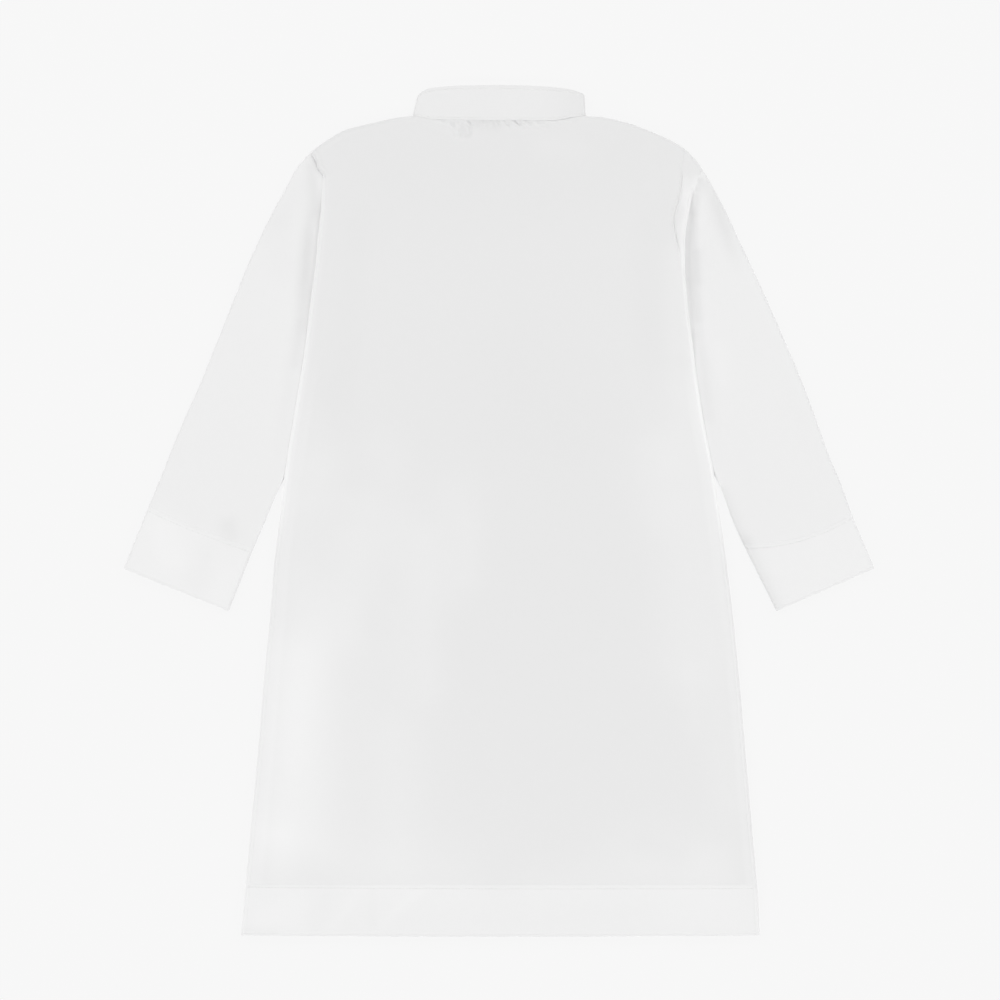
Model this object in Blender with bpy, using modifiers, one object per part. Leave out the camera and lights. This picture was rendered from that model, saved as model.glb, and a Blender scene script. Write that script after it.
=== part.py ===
"""A child's thobe (long robe) laid flat on its front, its back up.

The robe is cut from thin white cloth: a back and a front joined at the shoulders and sides, two
set-in sleeves with deep doubled cuffs, a stand collar and a front placket with buttons. It lies on
the plane z = 0. +Z is up, +Y runs from the hem to the collar, and +X is the wearer's right.

Lengths in this file are in millimetres. to_metres() turns them into scene units.
"""

import bisect
import math
from typing import NamedTuple

import bmesh
import bpy
from mathutils import Vector

MM = 0.001

# Cloth and sewing
CLOTH = 1.1                 # wall of one layer of cloth
DOUBLED = 1.6               # wall where the cloth is turned up or doubled
SEAM_GAP = 0.3              # clear gap between two pieces at a seam
HEM_STEP = 0.35             # how far the turned-up hem stands proud

# The body, from the hem to the shoulders
HEM_Y = -310.5              # lower edge at the sides
HEM_SAG = 1.0               # how much lower the hem's middle lies
HEM_DEPTH = 38.0
LEFT_TIP = Vector((-141.5, 259.8))    # left end of the shoulder line
RIGHT_TIP = Vector((149.5, 249.2))    # right end of the shoulder line
EDGE_LOFT = 4.4             # thickness of the body at its side edges, front and back together
MIDDLE_LOFT = 5.1           # the same along the middle
LOFT_WIDTH = 25.0           # over which one becomes the other
EDGE_RADIUS = EDGE_LOFT / 2
SHOULDER_RADIUS = 2.4
ARC_STEPS = 3               # faces in each quarter of a rounded edge
SHOULDER_SEAM = 1.6 * SEAM_GAP + 2.0 * CLOTH * math.sin(math.radians(45.0 / ARC_STEPS))
BOW_START = 0.45            # part of the height above which the rows bend like the shoulders

# The neck
NECK_HALF = 63.5            # half the width of the neck opening
NECK_CORNER = 1.8           # half the width over which a shoulder edge becomes a neck edge
NECK_DIP = 36.0             # how much lower the front of the neck lies
NECK_CURVE = 2.4            # exponent of the front neckline: higher is squarer
BACK_NECK_STOPS = (0.0, 16.0, 32.0, 48.0, NECK_HALF - NECK_CORNER)    # shared with the collar
FRONT_NECK_STOPS = (0.6, 12.1, 15.8, 19.5, 36.0, 50.0, NECK_HALF - NECK_CORNER)

# The collar
COLLAR_HEIGHT = 24.6        # at the centre back and the centre front
COLLAR_WALL = 1.4
COLLAR_FOOT_Z = 5.2         # outer face of the back half, at its foot
COLLAR_TOP_Z = 4.2          # outer face of the back half, at its top edge
COLLAR_TOP_HALF = 61.5      # half the width of the collar's top edge
COLLAR_TOP_SIDE_Y = 301.0   # where the top edge folds at the sides
COLLAR_FOLD_STEPS = 4       # faces in each quarter of the folds at its sides

# The front placket and its buttons
PLACKET_HALF = 11.0
PLACKET_LENGTH = 168.0
PLACKET_POINT = 9.0
PLACKET_WALL = 1.2
SLIT_HALF = FRONT_NECK_STOPS[0]
SLIT_SHORTER = 22.0         # how far above the placket's point the slit ends
BUTTON_RADIUS = 4.6
BUTTON_THICK = 1.5
BUTTON_COUNT = 5
BUTTON_FIRST = 13.0         # from the placket's top to the first button
BUTTON_PITCH = 31.0
PLACKET_Z = BUTTON_THICK + SEAM_GAP
PLACKET_RISE = PLACKET_Z + PLACKET_WALL + SEAM_GAP    # lifts the front over the placket
PLACKET_RAMP = 8.0
PLACKET_MARGIN = FRONT_NECK_STOPS[1] - PLACKET_HALF
PLACKET_FULLNESS = 0.7      # how much fuller the back lies over the placket
FULLNESS_HALF = 16.0
FULLNESS_RAMP = 30.0

# The sleeves, whose inner edges lie under the sides of the body
SLEEVE_HEIGHT = 3.6
SLEEVE_CROWN = 0.5
CUFF_HEIGHT = 4.2
SLEEVE_LIFT = 4.25          # how far the body's edge is raised by the sleeve under it
LIFT_MARGIN = 1.0
FRONT_RAMP = 27.0           # width over which the front comes down to the ground
BACK_RAMP = 38.0


class EdgeRow(NamedTuple):
    """The body's side edges at one height, and the seams' distance in from them."""

    y: float
    left: float
    right: float
    left_seam: float
    right_seam: float


BODY_EDGES = (
    EdgeRow(-310.5, -188.9, 191.0, 3.4, 3.4),
    EdgeRow(-285.0, -186.6, 189.8, 3.4, 3.4),
    EdgeRow(-241.0, -182.6, 186.0, 3.4, 3.4),
    EdgeRow(-182.0, -177.0, 180.9, 3.4, 3.4),
    EdgeRow(-124.0, -172.2, 175.9, 3.4, 3.4),
    EdgeRow(-80.0, -167.9, 171.6, 3.4, 3.4),
    EdgeRow(-36.0, -164.3, 166.3, 3.4, 3.4),
    EdgeRow(0.0, -159.9, 161.3, 3.4, 3.4),
    EdgeRow(28.0, -156.2, 157.2, 3.4, 3.4),
    EdgeRow(72.0, -148.9, 149.3, 3.4, 3.4),
    EdgeRow(125.0, -140.5, 141.7, 3.4, 3.4),
    EdgeRow(154.0, -137.8, 138.2, 3.4, 3.4),
    EdgeRow(182.0, -134.9, 136.3, 3.4, 3.8),
    EdgeRow(200.0, -133.4, 136.6, 3.4, 5.6),
    EdgeRow(214.0, -131.6, 138.6, 3.4, 9.0),
    EdgeRow(226.0, -130.0, 142.2, 3.4, 10.5),
    EdgeRow(237.0, -128.2, 146.2, 3.4, 13.0),
    EdgeRow(244.0, -128.0, 148.2, 3.4, 14.0),
    EdgeRow(249.2, -131.2, 149.5, 3.4, 14.5),
    EdgeRow(259.8, -141.5, 152.0, 3.4, 14.5),
)


class LinePoint(NamedTuple):
    """A point of a line that runs from left to right."""

    x: float
    y: float


LEFT_SHOULDER = (
    LinePoint(-141.5, 259.8),
    LinePoint(-133.4, 266.1),
    LinePoint(-120.2, 274.9),
    LinePoint(-111.4, 279.3),
    LinePoint(-93.8, 283.7),
    LinePoint(-74.8, 288.0),
    LinePoint(-63.5, 289.3),
)
BACK_NECK = (
    LinePoint(-63.5, 289.3),
    LinePoint(-49.8, 287.3),
    LinePoint(-27.1, 286.6),
    LinePoint(38.1, 286.6),
    LinePoint(51.0, 287.4),
    LinePoint(63.5, 289.3),
)
RIGHT_SHOULDER = (
    LinePoint(63.5, 289.3),
    LinePoint(77.0, 288.1),
    LinePoint(95.3, 283.7),
    LinePoint(107.0, 279.3),
    LinePoint(118.0, 274.9),
    LinePoint(134.1, 266.1),
    LinePoint(143.7, 257.3),
    LinePoint(149.5, 249.2),
)
COLLAR_BACK_TOP = (
    LinePoint(-61.5, 301.0),
    LinePoint(-58.6, 305.7),
    LinePoint(-50.6, 309.7),
    LinePoint(-30.0, 311.2),
    LinePoint(0.0, 311.5),
    LinePoint(30.0, 311.1),
    LinePoint(46.0, 309.9),
    LinePoint(58.6, 305.9),
    LinePoint(61.5, 301.0),
)


class SleeveSection(NamedTuple):
    """One section across a sleeve, from its outer edge to its inner edge."""

    outer_x: float
    outer_y: float
    inner_x: float
    inner_y: float
    bow: float              # how far its middle sags towards the cuff


LEFT_SLEEVE = (
    SleeveSection(-256.8, 2.9, -179.9, -27.9, 1.5),
    SleeveSection(-250.0, 19.1, -173.2, -12.5, 1.0),
    SleeveSection(-241.2, 41.0, -163.6, 10.5, 0.0),
    SleeveSection(-232.4, 63.0, -152.6, 34.0, 0.0),
    SleeveSection(-222.3, 85.0, -143.5, 57.0, 0.0),
    SleeveSection(-213.3, 107.0, -137.0, 81.0, 0.0),
    SleeveSection(-204.5, 129.0, -132.0, 106.0, 0.0),
    SleeveSection(-195.7, 151.0, -128.5, 131.0, 0.0),
    SleeveSection(-186.9, 173.0, -126.0, 155.0, 0.0),
    SleeveSection(-177.4, 195.0, -124.8, 179.0, 0.0),
    SleeveSection(-166.6, 217.0, -125.0, 203.0, 0.0),
    SleeveSection(-154.7, 239.0, -127.0, 224.0, 0.0),
    SleeveSection(-148.2, 250.8, -129.3, 238.5, 0.0),
    SleeveSection(-142.2, 259.0, -131.4, 247.8, 0.0),
)
RIGHT_SLEEVE = (
    SleeveSection(258.4, -2.9, 179.0, -24.9, 6.0),
    SleeveSection(250.7, 19.1, 170.6, -6.0, 3.0),
    SleeveSection(241.4, 41.0, 163.2, 14.5, 0.0),
    SleeveSection(233.6, 63.0, 153.0, 36.0, 0.0),
    SleeveSection(225.6, 85.0, 144.0, 58.0, 0.0),
    SleeveSection(216.8, 107.0, 137.5, 82.0, 0.0),
    SleeveSection(207.3, 129.0, 132.5, 106.0, 0.0),
    SleeveSection(197.8, 151.0, 129.0, 130.0, 0.0),
    SleeveSection(187.6, 173.0, 127.5, 153.0, 0.0),
    SleeveSection(177.4, 195.0, 128.0, 175.0, 0.0),
    SleeveSection(167.1, 217.0, 132.0, 195.0, 0.0),
    SleeveSection(158.4, 233.6, 139.2, 212.6, 0.0),
    SleeveSection(150.8, 247.2, 144.6, 229.6, 0.0),
)
LEFT_CUFF_END = SleeveSection(-274.9, -42.3, -197.9, -73.3, 0.0)
RIGHT_CUFF_END = SleeveSection(274.9, -42.0, 203.0, -73.3, 0.0)
CUFF_SECTIONS = 4


class Fold(NamedTuple):
    """A soft ridge, or a trough where it sinks, along a straight line."""

    start_x: float
    start_y: float
    end_x: float
    end_y: float
    half_width: float
    rise: float


BACK_FOLDS = (
    Fold(-50.0, 15.0, -42.0, -262.0, 15.0, 0.55),
    Fold(-92.0, -30.0, -78.0, -128.0, 18.0, -0.9),
    Fold(-149.0, -90.0, -160.0, -300.0, 22.0, 0.75),
    Fold(-118.0, 40.0, -128.0, -80.0, 20.0, 0.45),
    Fold(55.0, -20.0, 66.0, -255.0, 42.0, -0.8),
    Fold(120.0, 60.0, 138.0, -110.0, 20.0, -0.5),
    Fold(148.0, -60.0, 163.0, -290.0, 16.0, 0.6),
    Fold(-105.0, 120.0, -60.0, 40.0, 22.0, -0.5),
    Fold(100.0, 150.0, 60.0, 60.0, 24.0, -0.4),
    Fold(-150.0, -296.0, -118.0, -276.0, 9.0, 0.4),
    Fold(-62.0, -304.0, -30.0, -280.0, 9.0, 0.35),
)
SLEEVE_FOLDS = (
    Fold(-236.0, 24.0, -182.0, 140.0, 12.0, -0.5),
    Fold(-198.0, 10.0, -180.0, 60.0, 10.0, 0.45),
    Fold(-204.0, -30.0, -196.0, 2.0, 10.0, -0.45),
    Fold(232.0, 20.0, 184.0, 128.0, 12.0, -0.45),
    Fold(157.0, 226.0, 166.0, 196.0, 6.0, -0.35),
    Fold(206.0, -10.0, 182.0, 56.0, 10.0, 0.4),
)

CLOTH_WHITE = (0.83, 0.83, 0.835, 1.0)
DOUBLED_WHITE = (0.87, 0.87, 0.875, 1.0)
BUTTON_WHITE = (0.80, 0.80, 0.78, 1.0)


# Small pieces of arithmetic

def to_metres(point):
    """A point given in millimetres, in scene units."""
    return Vector(point) * MM


def mix(low, high, part):
    """The value a part of the way from low to high."""
    return low + (high - low) * part


def smooth(value, start, end):
    """0 before start, 1 after end, and a soft rise between them."""
    part = min(max((value - start) / (end - start), 0.0), 1.0)
    return part * part * (3.0 - 2.0 * part)


def along(places, values, place):
    """The value at a place of a smooth curve through the given ones, with no overshoot."""
    last = len(places) - 1
    slopes = [
        (values[i + 1] - values[i]) / (places[i + 1] - places[i]) for i in range(last)
    ]

    def tangent(i):
        if i == 0 or i == last:
            return slopes[0] if i == 0 else slopes[-1]
        before, after = slopes[i - 1], slopes[i]
        return 2.0 * before * after / (before + after) if before * after > 0.0 else 0.0

    i = min(max(bisect.bisect_right(places, place) - 1, 0), last - 1)
    width = places[i + 1] - places[i]
    t = min(max((place - places[i]) / width, 0.0), 1.0)
    bend_in = tangent(i) * width
    bend_out = tangent(i + 1) * width
    rise = values[i + 1] - values[i]
    return (
        values[i]
        + bend_in * t
        + (3.0 * rise - 2.0 * bend_in - bend_out) * t * t
        + (bend_in + bend_out - 2.0 * rise) * t * t * t
    )


def column(rows, name):
    """One named column of a table, as a list."""
    return [getattr(row, name) for row in rows]


def line_y(line, x):
    """The height of a left-to-right line at x."""
    return along(column(line, "x"), column(line, "y"), x)


def edge_at(name, y):
    """A column of the body's edge table at height y."""
    return along(column(BODY_EDGES, "y"), column(BODY_EDGES, name), y)


def fold_rise(folds, x, y):
    """How far the soft folds lift the cloth at a point."""
    total = 0.0
    for fold in folds:
        start = Vector((fold.start_x, fold.start_y))
        run = Vector((fold.end_x, fold.end_y)) - start
        part = (Vector((x, y)) - start).dot(run) / run.length_squared
        ends = smooth(part, -0.15, 0.2) * (1.0 - smooth(part, 0.8, 1.15))
        nearest = start + run * min(max(part, 0.0), 1.0)
        distance = (Vector((x, y)) - nearest).length
        total += fold.rise * ends * math.exp(-((distance / fold.half_width) ** 2))
    return total


def quarter(distance, radius):
    """0 at a rounded edge and 1 past its radius, as a quarter circle rises."""
    left = 1.0 - min(max(distance, 0.0), radius) / radius
    return math.sqrt(max(1.0 - left * left, 0.0))


def arc_distances(radius):
    """Distances in from a rounded edge at which its faces begin, the edge itself left out."""
    return [
        radius * (1.0 - math.cos(math.radians(90.0 * step / ARC_STEPS)))
        for step in range(1, ARC_STEPS + 1)
    ]


# Where the body's surfaces lie

def top_line(x, front):
    """The upper edge of a panel: the shoulders, and the neckline between them."""
    if x < -NECK_HALF:
        return line_y(LEFT_SHOULDER, x)
    if x > NECK_HALF:
        return line_y(RIGHT_SHOULDER, x)
    if not front:
        return line_y(BACK_NECK, x) - SEAM_GAP / 2
    return front_neck_y(x) - SEAM_GAP / 2


def front_neck_y(x):
    """The front neckline, a deep curve between the neck's sides."""
    side = LEFT_SHOULDER[-1].y
    return side - NECK_DIP * (1.0 - min(abs(x) / NECK_HALF, 1.0) ** NECK_CURVE)


def placket_top_y():
    """Where the placket begins, just under the collar."""
    return front_neck_y(0.0) - SEAM_GAP


def placket_low_y():
    """Just below the placket's point, where the front is still raised over it."""
    return placket_top_y() - PLACKET_LENGTH - PLACKET_MARGIN


def sleeve_tuck(y, left):
    """How far a sleeve reaches in under the body's edge at height y."""
    table = LEFT_SLEEVE if left else RIGHT_SLEEVE
    sleeve = along(column(table, "inner_y"), column(table, "inner_x"), y)
    edge = edge_at("left" if left else "right", y)
    return max(sleeve - edge if left else edge - sleeve, 0.0)


def side_lift(y, left):
    """How far the body's side edge is raised by the sleeve under it."""
    top = LEFT_TIP.y if left else RIGHT_TIP.y
    full = 237.0 if left else 214.0
    return SLEEVE_LIFT * smooth(y, -22.0, 34.0) * (1.0 - smooth(y, full, top))


def raised(y, side_distance, left, ramp, margin):
    """The lift of a point that lies side_distance in from an edge."""
    lift = side_lift(y, left)
    if lift <= 0.0:
        return 0.0
    begins = sleeve_tuck(y, left) + margin
    return lift * (1.0 - smooth(side_distance, begins, begins + ramp))


def under_z(x, y):
    """The height of the front's lower face, which lies on the ground but for the sleeves' lift."""
    from_left = x - edge_at("left", y)
    from_right = edge_at("right", y) - x
    height = raised(y, from_left, True, FRONT_RAMP, LIFT_MARGIN)
    height += raised(y, from_right, False, FRONT_RAMP, LIFT_MARGIN)
    over = 1.0 - smooth(abs(x), PLACKET_HALF + PLACKET_MARGIN, PLACKET_HALF + PLACKET_RAMP)
    over *= smooth(y, placket_low_y() - 2.0 * PLACKET_RAMP, placket_low_y())
    return height + PLACKET_RISE * over


def over_z(x, y):
    """The height of the back's upper face."""
    from_left = x - edge_at("left", y)
    from_right = edge_at("right", y) - x
    height = raised(y, from_left, True, BACK_RAMP, 0.0)
    height += raised(y, from_right, False, BACK_RAMP, 0.0)
    inward = smooth(min(from_left, from_right), 0.0, LOFT_WIDTH)
    height += mix(EDGE_LOFT, MIDDLE_LOFT, inward)
    full = 1.0 - smooth(abs(x), FULLNESS_HALF, FULLNESS_HALF + FULLNESS_RAMP)
    full *= smooth(y, placket_low_y() - 50.0, placket_low_y() - 14.0)
    full *= 1.0 - smooth(y, placket_top_y() + 4.0, placket_top_y() + 30.0)
    height += PLACKET_FULLNESS * full
    height += fold_rise(BACK_FOLDS, x, y) * inward * (1.0 - full)
    hem = 1.0 - smooth(y, HEM_Y + HEM_DEPTH - 1.4, HEM_Y + HEM_DEPTH)
    return height + HEM_STEP * hem


# Rows and columns of the body's panels

def body_rows():
    """Parts of the body's height at which its sections are taken, from the hem up."""
    height = LEFT_TIP.y - HEM_Y
    hem = [0.0, 9.0, HEM_DEPTH / 2, HEM_DEPTH - 1.5, HEM_DEPTH]
    low, high, count = HEM_DEPTH + 14.0, height - 22.0, 25
    middle = [mix(low, high, i / (count - 1)) for i in range(count)]
    ends = [placket_low_y() - 2.0 * PLACKET_RAMP - HEM_Y, placket_low_y() - HEM_Y]
    middle = [y for y in middle if min(abs(y - end) for end in ends) > 7.0] + ends
    middle.sort()
    top = [height - 10.0, height - 5.0]
    top += [height - d for d in reversed(arc_distances(SHOULDER_RADIUS))] + [height]
    return [distance / height for distance in hem + middle + top]


def row_ends(part):
    """The two ends of the section at a part of the body's height."""
    left_y = mix(HEM_Y, LEFT_TIP.y, part)
    right_y = mix(HEM_Y, RIGHT_TIP.y, part)
    left = Vector((edge_at("left", left_y), left_y))
    right = Vector((edge_at("right", right_y), right_y))
    return left, right


def body_point(part, x, front):
    """The place in plan of a section's point at x: the sections bend as the top edge does."""
    left, right = row_ends(part)
    across = (x - left.x) / (right.x - left.x)
    top_x = mix(LEFT_TIP.x, RIGHT_TIP.x, across)
    bow = top_line(top_x, front) - mix(LEFT_TIP.y, RIGHT_TIP.y, across)
    bend = max((part - BOW_START) / (1.0 - BOW_START), 0.0) ** 1.5
    sag = HEM_SAG * 4.0 * across * (1.0 - across) * (1.0 - smooth(part, 0.0, 0.2))
    return Vector((x, mix(left.y, right.y, across) + bow * bend - sag))


def depth_below_top(part):
    """How far a row lies below the panel's upper edge."""
    return (1.0 - part) * (LEFT_TIP.y - HEM_Y)


def shoulder_share(part, x):
    """1 where the upper edge above this point is a rounded shoulder, and 0 at the neck."""
    left, right = row_ends(part)
    across = (x - left.x) / (right.x - left.x)
    top_x = mix(LEFT_TIP.x, RIGHT_TIP.x, across)
    return smooth(abs(top_x), NECK_HALF - NECK_CORNER, NECK_HALF + NECK_CORNER)


def rounded(height, middle, part, x):
    """A height drawn in towards the seam in the middle of a shoulder's edge."""
    kept = quarter(depth_below_top(part), SHOULDER_RADIUS)
    return mix(height, mix(middle, height, kept), shoulder_share(part, x))


def upper_point(part, x):
    """A point of the body's upper face."""
    place = body_point(part, x, False)
    height = over_z(x, place.y)
    middle = (height + under_z(x, place.y) + SHOULDER_SEAM) / 2
    return Vector((place.x, place.y, rounded(height, middle, part, x)))


def lower_point(part, x):
    """A point of the body's lower face."""
    place = body_point(part, x, True)
    height = under_z(x, place.y)
    if shoulder_share(part, x) <= 0.0:
        return Vector((place.x, place.y, height))
    middle = (height + over_z(x, place.y) - SHOULDER_SEAM) / 2
    return Vector((place.x, place.y, rounded(height, middle, part, x)))


def side_profile(part, left):
    """The rounded side edge and the lip over it, from the side seam round to the lower face."""
    ends = row_ends(part)
    edge = ends[0] if left else ends[1]
    inward = 1.0 if left else -1.0
    seam = edge_at("left_seam" if left else "right_seam", edge.y)
    lip = [seam, (seam + EDGE_RADIUS) / 2] + list(reversed(arc_distances(EDGE_RADIUS)))
    flat_top = upper_point(part, edge.x + inward * EDGE_RADIUS).z
    flat_low = lower_point(part, edge.x + inward * EDGE_RADIUS).z
    middle = (flat_top + flat_low) / 2
    points = []
    for distance in lip:
        x = edge.x + inward * distance
        place = upper_point(part, x)
        if distance < EDGE_RADIUS:
            place.z = mix(middle, flat_top, quarter(distance, EDGE_RADIUS))
        points.append(place)
    points.append(Vector((edge.x, edge.y, middle)))
    for distance in arc_distances(EDGE_RADIUS):
        place = lower_point(part, edge.x + inward * distance)
        place.z = mix(middle, flat_low, quarter(distance, EDGE_RADIUS))
        points.append(place)
    return points


# Meshes

def new_object(name, mesh, colour, roughness, collection):
    """An object of the robe with a material of its own."""
    made = bpy.data.objects.new(name, mesh)
    collection.objects.link(made)
    material = bpy.data.materials.new(name)
    material.use_nodes = True
    shader = material.node_tree.nodes["Principled BSDF"]
    shader.inputs["Base Color"].default_value = colour
    shader.inputs["Roughness"].default_value = roughness
    shader.inputs["Metallic"].default_value = 0.0
    made.data.materials.append(material)
    return made


def loft(name, sections, closed, leave_out=None):
    """A surface through sections of equally many points, its faces turned outwards."""
    mesh = bpy.data.meshes.new(name)
    shape = bmesh.new()
    rows = [[shape.verts.new(to_metres(point)) for point in section] for section in sections]
    count = len(sections[0])
    for low, high in zip(rows, rows[1:]):
        for i in range(count if closed else count - 1):
            j = (i + 1) % count
            corners = (low[i], low[j], high[j], high[i])
            middle = sum((corner.co for corner in corners), Vector()) / (4.0 * MM)
            if leave_out is None or not leave_out(middle):
                shape.faces.new(corners)
    shape.to_mesh(mesh)
    shape.free()
    mesh.shade_smooth()
    return mesh


def give_wall(made, wall, thin_part=1.0, thick_points=()):
    """Gives a surface its wall, inwards, thinner by thin_part away from the thick points."""
    solidify = made.modifiers.new("cloth wall", "SOLIDIFY")
    solidify.thickness = wall * MM
    solidify.offset = -1.0
    solidify.use_even_offset = True
    solidify.use_quality_normals = True
    if thick_points:
        group = made.vertex_groups.new(name="doubled cloth")
        group.add(list(thick_points), 1.0, "REPLACE")
        solidify.vertex_group = group.name
        solidify.thickness_vertex_group = thin_part


def hem_points(mesh):
    """The points of a panel that lie on its turned-up hem."""
    limit = (HEM_Y + HEM_DEPTH - 0.7) * MM
    return [vertex.index for vertex in mesh.vertices if vertex.co.y < limit]


# The pieces

def make_back(collection):
    """The back, from side seam to side seam and from the hem to the shoulders and neck."""
    tops = list(BACK_NECK_STOPS) + [NECK_HALF + NECK_CORNER, 84.0, 103.0, 121.0]
    tops = [-x for x in reversed(tops[1:])] + tops
    first, last = back_ends(1.0)
    parts = [0.0] + [(x - first) / (last - first) for x in tops] + [1.0]
    sections = []
    for part in body_rows():
        start, end = back_ends(part)
        sections.append([upper_point(part, mix(start, end, share)) for share in parts])
    mesh = loft("back_panel", sections, closed=False)
    made = new_object("back_panel", mesh, CLOTH_WHITE, 0.85, collection)
    give_wall(made, DOUBLED, CLOTH / DOUBLED, hem_points(mesh))


def back_ends(part):
    """The x of the back's two side edges, a seam's gap in from the front's lips."""
    left, right = row_ends(part)
    start = left.x + edge_at("left_seam", left.y) + SEAM_GAP
    end = right.x - edge_at("right_seam", right.y) - SEAM_GAP
    return start, end


def front_columns(part):
    """The x of the front's lower-face points between its rounded edges."""
    left, right = row_ends(part)
    width = right.x - left.x
    top_width = RIGHT_TIP.x - LEFT_TIP.x
    left_ramp, right_ramp = [], []
    for ramp_part in (0.0, 0.33, 0.67, 1.0):
        reach = LIFT_MARGIN + FRONT_RAMP * ramp_part
        left_ramp.append(left.x + max(sleeve_tuck(left.y, True) + reach, EDGE_RADIUS + 1.0))
        right_ramp.append(right.x - max(sleeve_tuck(right.y, False) + reach, EDGE_RADIUS + 1.0))
    stops = list(FRONT_NECK_STOPS[4:]) + [NECK_HALF + NECK_CORNER, 88.0]
    right_inner = [left.x + (x - LEFT_TIP.x) / top_width * width for x in stops]
    left_inner = [left.x + (-x - LEFT_TIP.x) / top_width * width for x in reversed(stops)]
    ramp = list(FRONT_NECK_STOPS[:4])
    middle = [-x for x in reversed(ramp)] + ramp
    return left_ramp + left_inner + middle + right_inner + list(reversed(right_ramp))


def make_front(collection):
    """The front, with its lips over the side edges and the slit behind the placket."""
    sections = []
    for part in body_rows():
        left = side_profile(part, True)
        right = side_profile(part, False)
        middle = [lower_point(part, x) for x in front_columns(part)]
        section = left + middle + list(reversed(right))
        sections.append(list(reversed(section)))
    slit_end = placket_top_y() - PLACKET_LENGTH + SLIT_SHORTER

    def in_slit(middle):
        return abs(middle.x) < SLIT_HALF and middle.y > slit_end and middle.z < PLACKET_RISE + 1.0

    mesh = loft("front_panel", sections, closed=False, leave_out=in_slit)
    made = new_object("front_panel", mesh, CLOTH_WHITE, 0.85, collection)
    give_wall(made, DOUBLED, CLOTH / DOUBLED, hem_points(mesh))


def tube_section(section, height, crown):
    """A ring round a flattened tube: out along its top from the outer edge, back below."""
    outer = Vector((section.outer_x, section.outer_y))
    inner = Vector((section.inner_x, section.inner_y))
    width = (inner - outer).length
    across = (inner - outer) / width
    down = Vector((across.y, -across.x)) if across.y > 0.0 else Vector((-across.y, across.x))
    if down.y > 0.0:
        down = -down
    radius = height / 2
    arcs = arc_distances(radius)
    top = [0.0] + arcs + [mix(radius, width - radius, i / 6) for i in range(1, 6)]
    top += [width - distance for distance in reversed(arcs)] + [width]
    low = [width - distance for distance in arcs]
    low += [mix(width - radius, radius, i / 4) for i in range(1, 4)] + list(reversed(arcs))
    ring = []
    for upper, distances in ((True, top), (False, low)):
        for distance in distances:
            share = distance / width
            sag = section.bow * 4.0 * share * (1.0 - share)
            place = outer + across * distance + down * sag
            rise = radius * quarter(min(distance, width - distance), radius)
            if upper:
                fullness = math.sin(math.pi * share) * crown
                fullness += fold_rise(SLEEVE_FOLDS, place.x, place.y) * min(1.0, rise / radius)
                rise += fullness * quarter(min(distance, width - distance), 12.0)
            ring.append(Vector((place.x, place.y, radius + rise if upper else radius - rise)))
    return ring


def make_sleeve(name, table, collection):
    """A sleeve, a flattened tube from its cuff's seam up to the shoulder."""
    rings = [tube_section(section, SLEEVE_HEIGHT, SLEEVE_CROWN) for section in table]
    add_tube(name, rings, CLOTH, CLOTH_WHITE, collection)


def make_cuff(name, seam, end, collection):
    """A cuff, a flattened doubled band that follows on from the sleeve's lower end."""
    length = (Vector((seam.outer_x, seam.outer_y)) - Vector((end.outer_x, end.outer_y))).length
    rings = []
    for i in range(CUFF_SECTIONS):
        part = mix(1.0, SEAM_GAP / length, i / (CUFF_SECTIONS - 1))
        between = SleeveSection(*(mix(a, b, part) for a, b in zip(seam, end)))
        rings.append(tube_section(between, CUFF_HEIGHT, SLEEVE_CROWN))
    add_tube(name, rings, DOUBLED, DOUBLED_WHITE, collection)


def add_tube(name, rings, wall, colour, collection):
    """A tube through rings, given its wall inwards, whichever way its rings run."""
    mesh = loft(name, rings, closed=True)
    shape = bmesh.new()
    shape.from_mesh(mesh)
    bmesh.ops.recalc_face_normals(shape, faces=shape.faces)
    top = max(shape.faces, key=lambda face: face.calc_center_median().z)
    if top.normal.z < 0.0:
        bmesh.ops.reverse_faces(shape, faces=shape.faces)
    shape.to_mesh(mesh)
    shape.free()
    made = new_object(name, mesh, colour, 0.85, collection)
    give_wall(made, wall)


def collar_station(x_share, back, foot):
    """A point of the collar's foot or top edge: x_share is -1 at the left fold, 1 at the right."""
    if foot:
        x = x_share * NECK_HALF
        y = (line_y(BACK_NECK, x) if back else front_neck_y(x)) + SEAM_GAP / 2
        return Vector((x, y))
    x = x_share * COLLAR_TOP_HALF
    if back:
        return Vector((x, line_y(COLLAR_BACK_TOP, x)))
    low = front_neck_y(0.0) + COLLAR_HEIGHT
    return Vector((x, mix(low, COLLAR_TOP_SIDE_Y, abs(x_share) ** NECK_CURVE)))


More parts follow.
